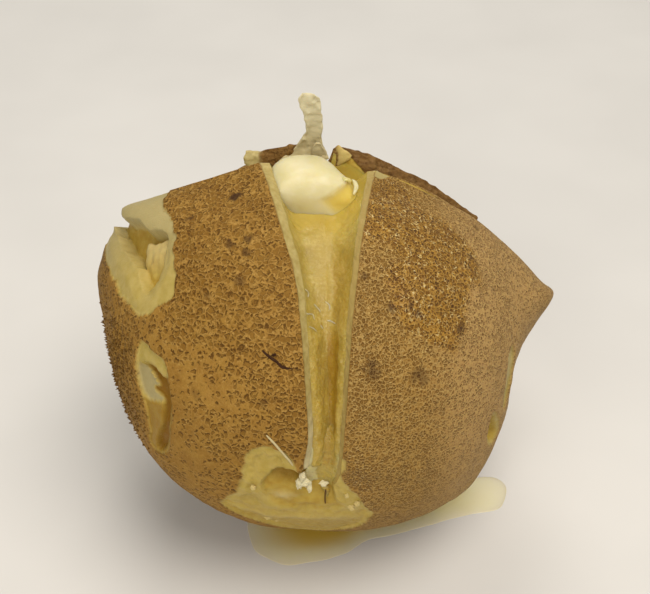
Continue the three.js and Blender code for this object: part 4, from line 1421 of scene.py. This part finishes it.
SLIVER_INSIDE = [(7.5, 0.9, 69.7), (7.7, 0.4, 69.6), (7.9, -0.3, 69.0), (7.7, -1.2, 68.2)]
SLIVER_OUTSIDE = [(7.7, 0.9, 69.9), (8.4, 0.4, 69.7), (8.7, -0.4, 68.9), (8.0, -1.3, 68.0)]
sliver = sheet_grids(SLIVER_INSIDE, SLIVER_OUTSIDE, 0.32, rows=50, columns=20, ragged=0.03, seed=151,
                     bend=0.1, look={"melted": 0.0})
make_piece("butter_sliver", sliver, BUTTER, "butter")
FOLD_NEAR = [(4.6, 0.3, 69.2), (5.6, 0.3, 69.7), (6.7, 0.3, 69.8), (7.4, 0.6, 69.4)]
FOLD_FAR = [(4.7, 0.9, 69.4), (5.7, 1.0, 70.1), (6.8, 1.1, 70.1), (7.5, 1.2, 69.6)]
butter_fold = sheet_grids(FOLD_NEAR, FOLD_FAR, 0.3, rows=40, columns=20, ragged=0.04, seed=155,
                          bend=0.1, look={"melted": 0.6})
make_piece("butter_fold", butter_fold, BUTTER, "butter")

# %% [markdown]
# Small things lie on it: crumbs of pale flesh where the front slit ends, small lumps in the front tear, a
# fibre of rind beside them, a dark fibre in the tear, pale fibres of butter in the slits that stand in for
# the wet flesh's highlights as painted highlights, two short charred cracks, and on the left hundreds of
# tiny flakes of dry skin. A crumb is an uneven blob, a fibre a thin tube that tapers at both ends, and a
# flake a blade that stands up from the skin.
# %% Crumbs and fibres


def blob_grid(middle, half, seed, uneven=0.35, rows=26, columns=36):
    """An ellipsoid whose distance from its middle is uneven: middle + half * direction * (1 + noise)."""
    rise = np.pi * (0.5 - np.arange(rows + 1) / rows)[:, None]
    turn = 2 * np.pi * np.arange(columns + 1)[None, :] / columns
    flat = np.cos(rise)
    way = np.stack([flat * np.cos(turn), flat * np.sin(turn), np.sin(rise) + 0 * turn], axis=-1)
    noise = smooth_noise(way * 3 + seed, 1.6, seed) + 0.5 * smooth_noise(way * 3 + seed, 0.7, seed + 1)
    return closed_ball(np.array(middle) + way * np.array(half) * (1 + uneven * noise[..., None]))


def fibre_grid(route, radius, rows=40, sides=10):
    """A circle carried along a smooth route. Its radius falls to nothing at both ends, by
    sqrt(1 - (2s - 1)^6)."""
    s = np.linspace(0, 1, rows + 1)
    middle = along(route, s)
    ahead = unit(np.gradient(middle, axis=0))
    side = unit(np.cross(ahead, np.array([0.2, 1.0, 0.1])))
    up = np.cross(side, ahead)
    turn = 2 * np.pi * np.arange(sides + 1) / sides
    turn[-1] = 0
    turn = turn[None, :, None]
    r = radius * np.sqrt(1 - (2 * s - 1) ** 6)[:, None, None]
    return middle[:, None] + r * (side[:, None] * np.cos(turn) - up[:, None] * np.sin(turn))


# Where each lies, its half sizes in mm and the seed of its unevenness.
CRUMBS = [
    ((-0.9, -36.0, 34.2), (0.55, 0.5, 1.2), 161), ((-1.5, -36.0, 32.6), (0.6, 0.6, 1.1), 163),
    ((-0.5, -36.0, 32.9), (0.9, 0.6, 0.8), 165), ((0.3, -35.9, 31.8), (0.45, 0.5, 1.1), 167),
    ((2.7, -35.5, 32.2), (0.7, 0.4, 0.5), 169),
]
WHITE = {**RIM, "pale": 0.85}
LUMP = {"bare": 1.0, "flesh": 1.0, "pale": 0.5}
LUMPS = [
    ((-9.3, -35.2, 31.0), (0.5, 0.4, 0.5), 171), ((7.5, -34.9, 25.8), (0.7, 0.5, 0.5), 173),
    ((8.4, -35.2, 27.0), (0.5, 0.4, 0.6), 175), ((6.6, -35.6, 29.4), (0.4, 0.4, 0.6), 177),
    ((-7.0, -31.2, 19.5), (0.9, 0.5, 0.6), 179), ((-5.6, -30.9, 18.6), (0.6, 0.4, 0.5), 180),
]
crumbs = [{"p": blob_grid(*blob), **WHITE} for blob in CRUMBS]
crumbs += [{"p": blob_grid(*blob), **LUMP} for blob in LUMPS]
make_piece("flesh_crumbs", crumbs, SKIN)


def laid_on(points, grids, above):
    """Points moved straight in or out from the body's middle until they lie a little above a surface."""
    surface = np.concatenate([g["p"].reshape(-1, 3) for g in grids]) - MIDDLE
    far = np.linalg.norm(surface, axis=-1)
    ways = unit(np.array(points) - MIDDLE)
    nearest = np.array([np.argmax((surface / far[:, None]) @ way) for way in ways])
    return MIDDLE + ways * (far[nearest] + above)[:, None]


def make_fibres(name, routes, grids, radius, above, look, material, stands_for="potato"):
    tubes = [{"p": fibre_grid(laid_on(route, grids, above), radius), **look} for route in routes]
    make_piece(name, tubes, material, stands_for)


RIND_FIBRE = [
    (-6.5, -34.2, 43.4), (-5.2, -34.9, 41.9), (-4.1, -35.6, 40.2), (-2.9, -36.2, 38.2),
    (-2.0, -36.5, 35.6),
]
LEFT_SKIN = shells["front_left"][:1]
make_fibres("rind_fibre", [RIND_FIBRE], LEFT_SKIN, 0.2, 0.15, {**RIM, "pale": 0.5}, SKIN)
DARK_FIBRE = [(3.0, -35.0, 30.3), (2.9, -35.1, 28.4), (2.95, -35.1, 26.8)]
make_piece("dark_fibre", [{"p": fibre_grid(DARK_FIBRE, 0.13), "stain": 0.8}], SKIN)
make_fibres("charred_cracks", CRACKS, LEFT_SKIN, 0.24, -0.04, {"stain": 1.0}, SKIN)
# Pale fibres of butter where the wet flesh shines: they stand in for its highlights, painted highlights.
WET_FIBRES_AS_HIGHLIGHTS = [
    [(-0.4, -21.3, 62.9), (0.2, -21.4, 62.3), (0.1, -21.9, 61.6)],
    [(1.1, -22.2, 60.6), (1.7, -22.4, 59.9), (2.2, -22.4, 59.0)],
    [(3.0, -21.2, 60.4), (3.6, -21.1, 59.4), (3.7, -21.6, 58.6)],
    [(-0.6, -24.6, 60.9), (0.0, -24.7, 60.3), (0.9, -24.4, 60.1), (1.2, -24.9, 59.2)],
    [(0.3, -26.3, 58.9), (1.0, -26.0, 58.3), (1.6, -25.8, 57.4)],
    [(2.2, -24.4, 57.7), (2.6, -24.5, 57.0)],
    [(3.3, -23.5, 58.0), (4.0, -23.4, 57.7), (4.5, -23.3, 57.0)],
    [(7.0, 10.0, 66.6), (7.6, 9.9, 66.0), (8.3, 9.7, 65.6)],
    [(8.0, 9.9, 65.2), (8.8, 9.7, 64.9)],
]
make_fibres("wet_fibres_as_highlights", WET_FIBRES_AS_HIGHLIGHTS, flesh_made, 0.09, 0.02, {"melted": 0.0}, BUTTER, "butter")

FLAKES = 900
FLAKE_LENGTH = (0.3, 0.75)
FLAKE_WIDTH = 0.2
FLAKE_AZIMUTH = (-86, -25)
FLAKE_ELEVATION = (-40, 24)


def flake_grids():
    """Flakes stand where two bell curves over azimuth and elevation say that the skin is scruffy."""
    chance = np.random.default_rng(181)
    azimuth = chance.uniform(*FLAKE_AZIMUTH, 6 * FLAKES)
    elevation = chance.uniform(*FLAKE_ELEVATION, 6 * FLAKES)
    beside_split = bell(azimuth, elevation, -64, 10, 14, 15)
    left_edge = bell(azimuth, elevation, -82, -4, 14, 24)
    scruffy = np.maximum(beside_split, 0.7 * left_edge)
    chosen = np.flatnonzero(chance.uniform(0, 1, 6 * FLAKES) < scruffy)[:FLAKES]
    ways = direction(azimuth[chosen], elevation[chosen])
    feet = laid_on(MIDDLE + ways, LEFT_SKIN, -0.1)
    _, off, _, _, _ = torn(ways, feet)
    grids = []
    for foot, way in zip(feet[off < 0.5], ways[off < 0.5]):
        lean = chance.uniform(-0.5, 0.5, 3)
        axis = unit(way + 1.5 * lean)
        side = unit(np.cross(axis, lean + np.array([0.1, 0.2, 1.0])))
        length = chance.uniform(*FLAKE_LENGTH)
        turn = 2 * np.pi * np.arange(5) / 4
        turn[-1] = 0
        ring = side * np.cos(turn)[:, None] - 0.5 * np.cross(axis, side) * np.sin(turn)[:, None]
        s = np.array([0, 0, 0.6, 1])[:, None, None]
        width = FLAKE_WIDTH * np.array([0, 1.2, 0.8, 0])[:, None, None]
        grids.append({"p": foot + axis * length * s + side * 0.25 * length * s**2 + ring[None] * width,
                      "coarse": 1.0, "plain": 0.7, "stain": 0.15})
    return grids


make_piece("skin_flakes", flake_grids(), SKIN)

# %% [markdown]
# Melted butter has run out below and lies on the table as a thin puddle with a rounded edge, part of it
# under the potato. It is one outline, drawn in towards a middle, and its height rises steeply from the
# edge.
# %% Melted butter on the table
PUDDLE = [
    (26, -8.7), (32.5, -3.1), (37.7, -2.5), (39.8, -5.9), (37.8, -10.8), (31.7, -12.7),
    (23.6, -15.4), (17.6, -17.5), (10.5, -19.8), (6.5, -22.8), (1.0, -25.0), (-5.5, -25.2),
    (-10.0, -22.6), (-12.0, -18.6), (-12.5, -13.0), (-10, -6), (-2, 0), (10, 2), (20, -3),
]
PUDDLE_MIDDLE = np.array([6.0, -10.0])
PUDDLE_HEIGHT = 0.28
TABLE_GAP = 0.02


def puddle_grids(rows=40):
    """Top: middle + s (outline - middle), at height * (1 - s^6)^(1/2). Bottom: the same places, down on
    the table."""
    outline = smooth_loop(PUDDLE, 12)
    outline = np.vstack([outline, outline[:1]])
    s = np.sin(0.5 * np.pi * np.arange(rows + 1) / rows)[:, None]
    p = PUDDLE_MIDDLE + s[..., None] * (outline - PUDDLE_MIDDLE)
    uneven = smooth_noise(np.dstack([p, np.zeros(p.shape[:2])]), 4.0, 171)
    p = p + 0.4 * s[..., None] * unit(outline - PUDDLE_MIDDLE) * uneven[..., None]
    p[:, -1] = p[:, 0]
    height = PUDDLE_HEIGHT * np.sqrt(1 - s**6) + 0 * p[..., 0]
    top = np.dstack([p, TABLE_GAP + height])
    bottom = np.dstack([p, TABLE_GAP + 0 * height])
    # Deeper golden where butter pools near and under the potato: partly thicker butter, partly painted
    # shade from the potato.
    pooled = step(17, 8, top[..., 0]) * step(-24.5, -20.0, top[..., 1])
    return [{"p": top, "thin": s + 0 * height, "pooled": pooled}, {"p": bottom[:, ::-1], "thin": 1.0}]


def puddle_material():
    """Melted butter in a film less than a millimetre thick: a clear golden oil that tints what lies under
    it. The pale table is taken into its colour, which keeps the shadows in it clean."""
    material, tree = start_material("melted_butter_film")
    thin = ramp(tree, value_of(tree, "thin"), 0.5, 1.0)
    cloudy = blended(tree, noise_of(tree, 3.0, 3.0), "#e8d78f", "#ecdda0")
    # deeper golden where it pools near the potato, partly painted shade
    cloudy = blended(tree, value_of(tree, "pooled"), cloudy, "#deb64a")
    colour = blended(tree, thin, cloudy, "#ecdfb0")
    finish_material(tree, colour, 0.3, IOR=BUTTER_IOR, **{
        "Subsurface Weight": 0.4, "Subsurface Radius": BUTTER_SCATTER, "Subsurface Scale": 0.002})
    return material


make_piece("butter_puddle", puddle_grids(), puddle_material(), "butter")

# %% [markdown]
# A pale plain floor, a soft key light from above, weaker light from the front and from behind, and a
# camera that looks down as a seated eater does. The lens is long enough not to swell the near side.
# %% Floor, light and camera
FLOOR_HALF = 3.0
CAMERA_DOWN = 37.5  # degrees below the horizon
CAMERA_AWAY = 247.0
CAMERA_AIM = np.array([2.9, 4.9, 41.0])
LENS = 72.0
SENSOR_WIDTH = 36.0
LIGHTS = [  # place and aim in metres, size in metres, watts, colour
    ("key", (0.18, -0.20, 0.70), (0, 0, 0.04), 0.50, 4.15, "#fff7ee"),
    ("fill", (-0.22, -0.56, 0.30), (0, 0, 0.02), 0.50, 1.8, "#fffaf3"),
    ("back", (-0.05, 0.45, 0.60), (0, 0, 0.04), 0.40, 1.6, "#fffaf2"),
]
WORLD_COLOUR = "#f2f1ee"
WORLD_STRENGTH = 0.40


def make_floor():
    mesh = bpy.data.meshes.new("floor")
    signs = [(-1, -1), (1, -1), (1, 1), (-1, 1)]
    mesh.from_pydata([(FLOOR_HALF * x, FLOOR_HALF * y, 0) for x, y in signs], [], [(0, 1, 2, 3)])
    floor = bpy.data.objects.new("floor", mesh)
    bpy.context.scene.collection.objects.link(floor)
    material, tree = start_material("matt_pale_floor")
    tone = blended(tree, noise_of(tree, 40.0), "#cccac5", "#d0cec9")
    finish_material(tree, tone, 0.55)
    mesh.materials.append(material)


def add_light(name, place, aim, size, watts, colour):
    data = bpy.data.lights.new(name, "AREA")
    data.shape = "DISK"
    data.size = size
    data.energy = watts
    data.color = linear(colour)[:3]
    lamp = bpy.data.objects.new(name, data)
    lamp.location = place
    lamp.rotation_euler = (Vector(aim) - Vector(place)).to_track_quat("-Z", "Y").to_euler()
    bpy.context.scene.collection.objects.link(lamp)


make_floor()
for light in LIGHTS:
    add_light(*light)
world = bpy.data.worlds.new("studio")
world.use_nodes = True
background = world.node_tree.nodes["Background"]
background.inputs["Color"].default_value = linear(WORLD_COLOUR)
background.inputs["Strength"].default_value = WORLD_STRENGTH
bpy.context.scene.world = world
bpy.context.scene.view_settings.view_transform = "Standard"

look = np.array([0, math.cos(math.radians(CAMERA_DOWN)), -math.sin(math.radians(CAMERA_DOWN))])
camera = bpy.data.objects.new("camera", bpy.data.cameras.new("camera"))
camera.data.lens = LENS
camera.data.sensor_width = SENSOR_WIDTH
camera.data.clip_start = 0.01
camera.location = (CAMERA_AIM - look * CAMERA_AWAY + PLACE) * MM
camera.rotation_euler = (math.radians(90 - CAMERA_DOWN), 0, 0)
bpy.context.scene.collection.objects.link(camera)
bpy.context.scene.camera = camera
print("camera at", [round(float(c), 3) for c in camera.location], "m")
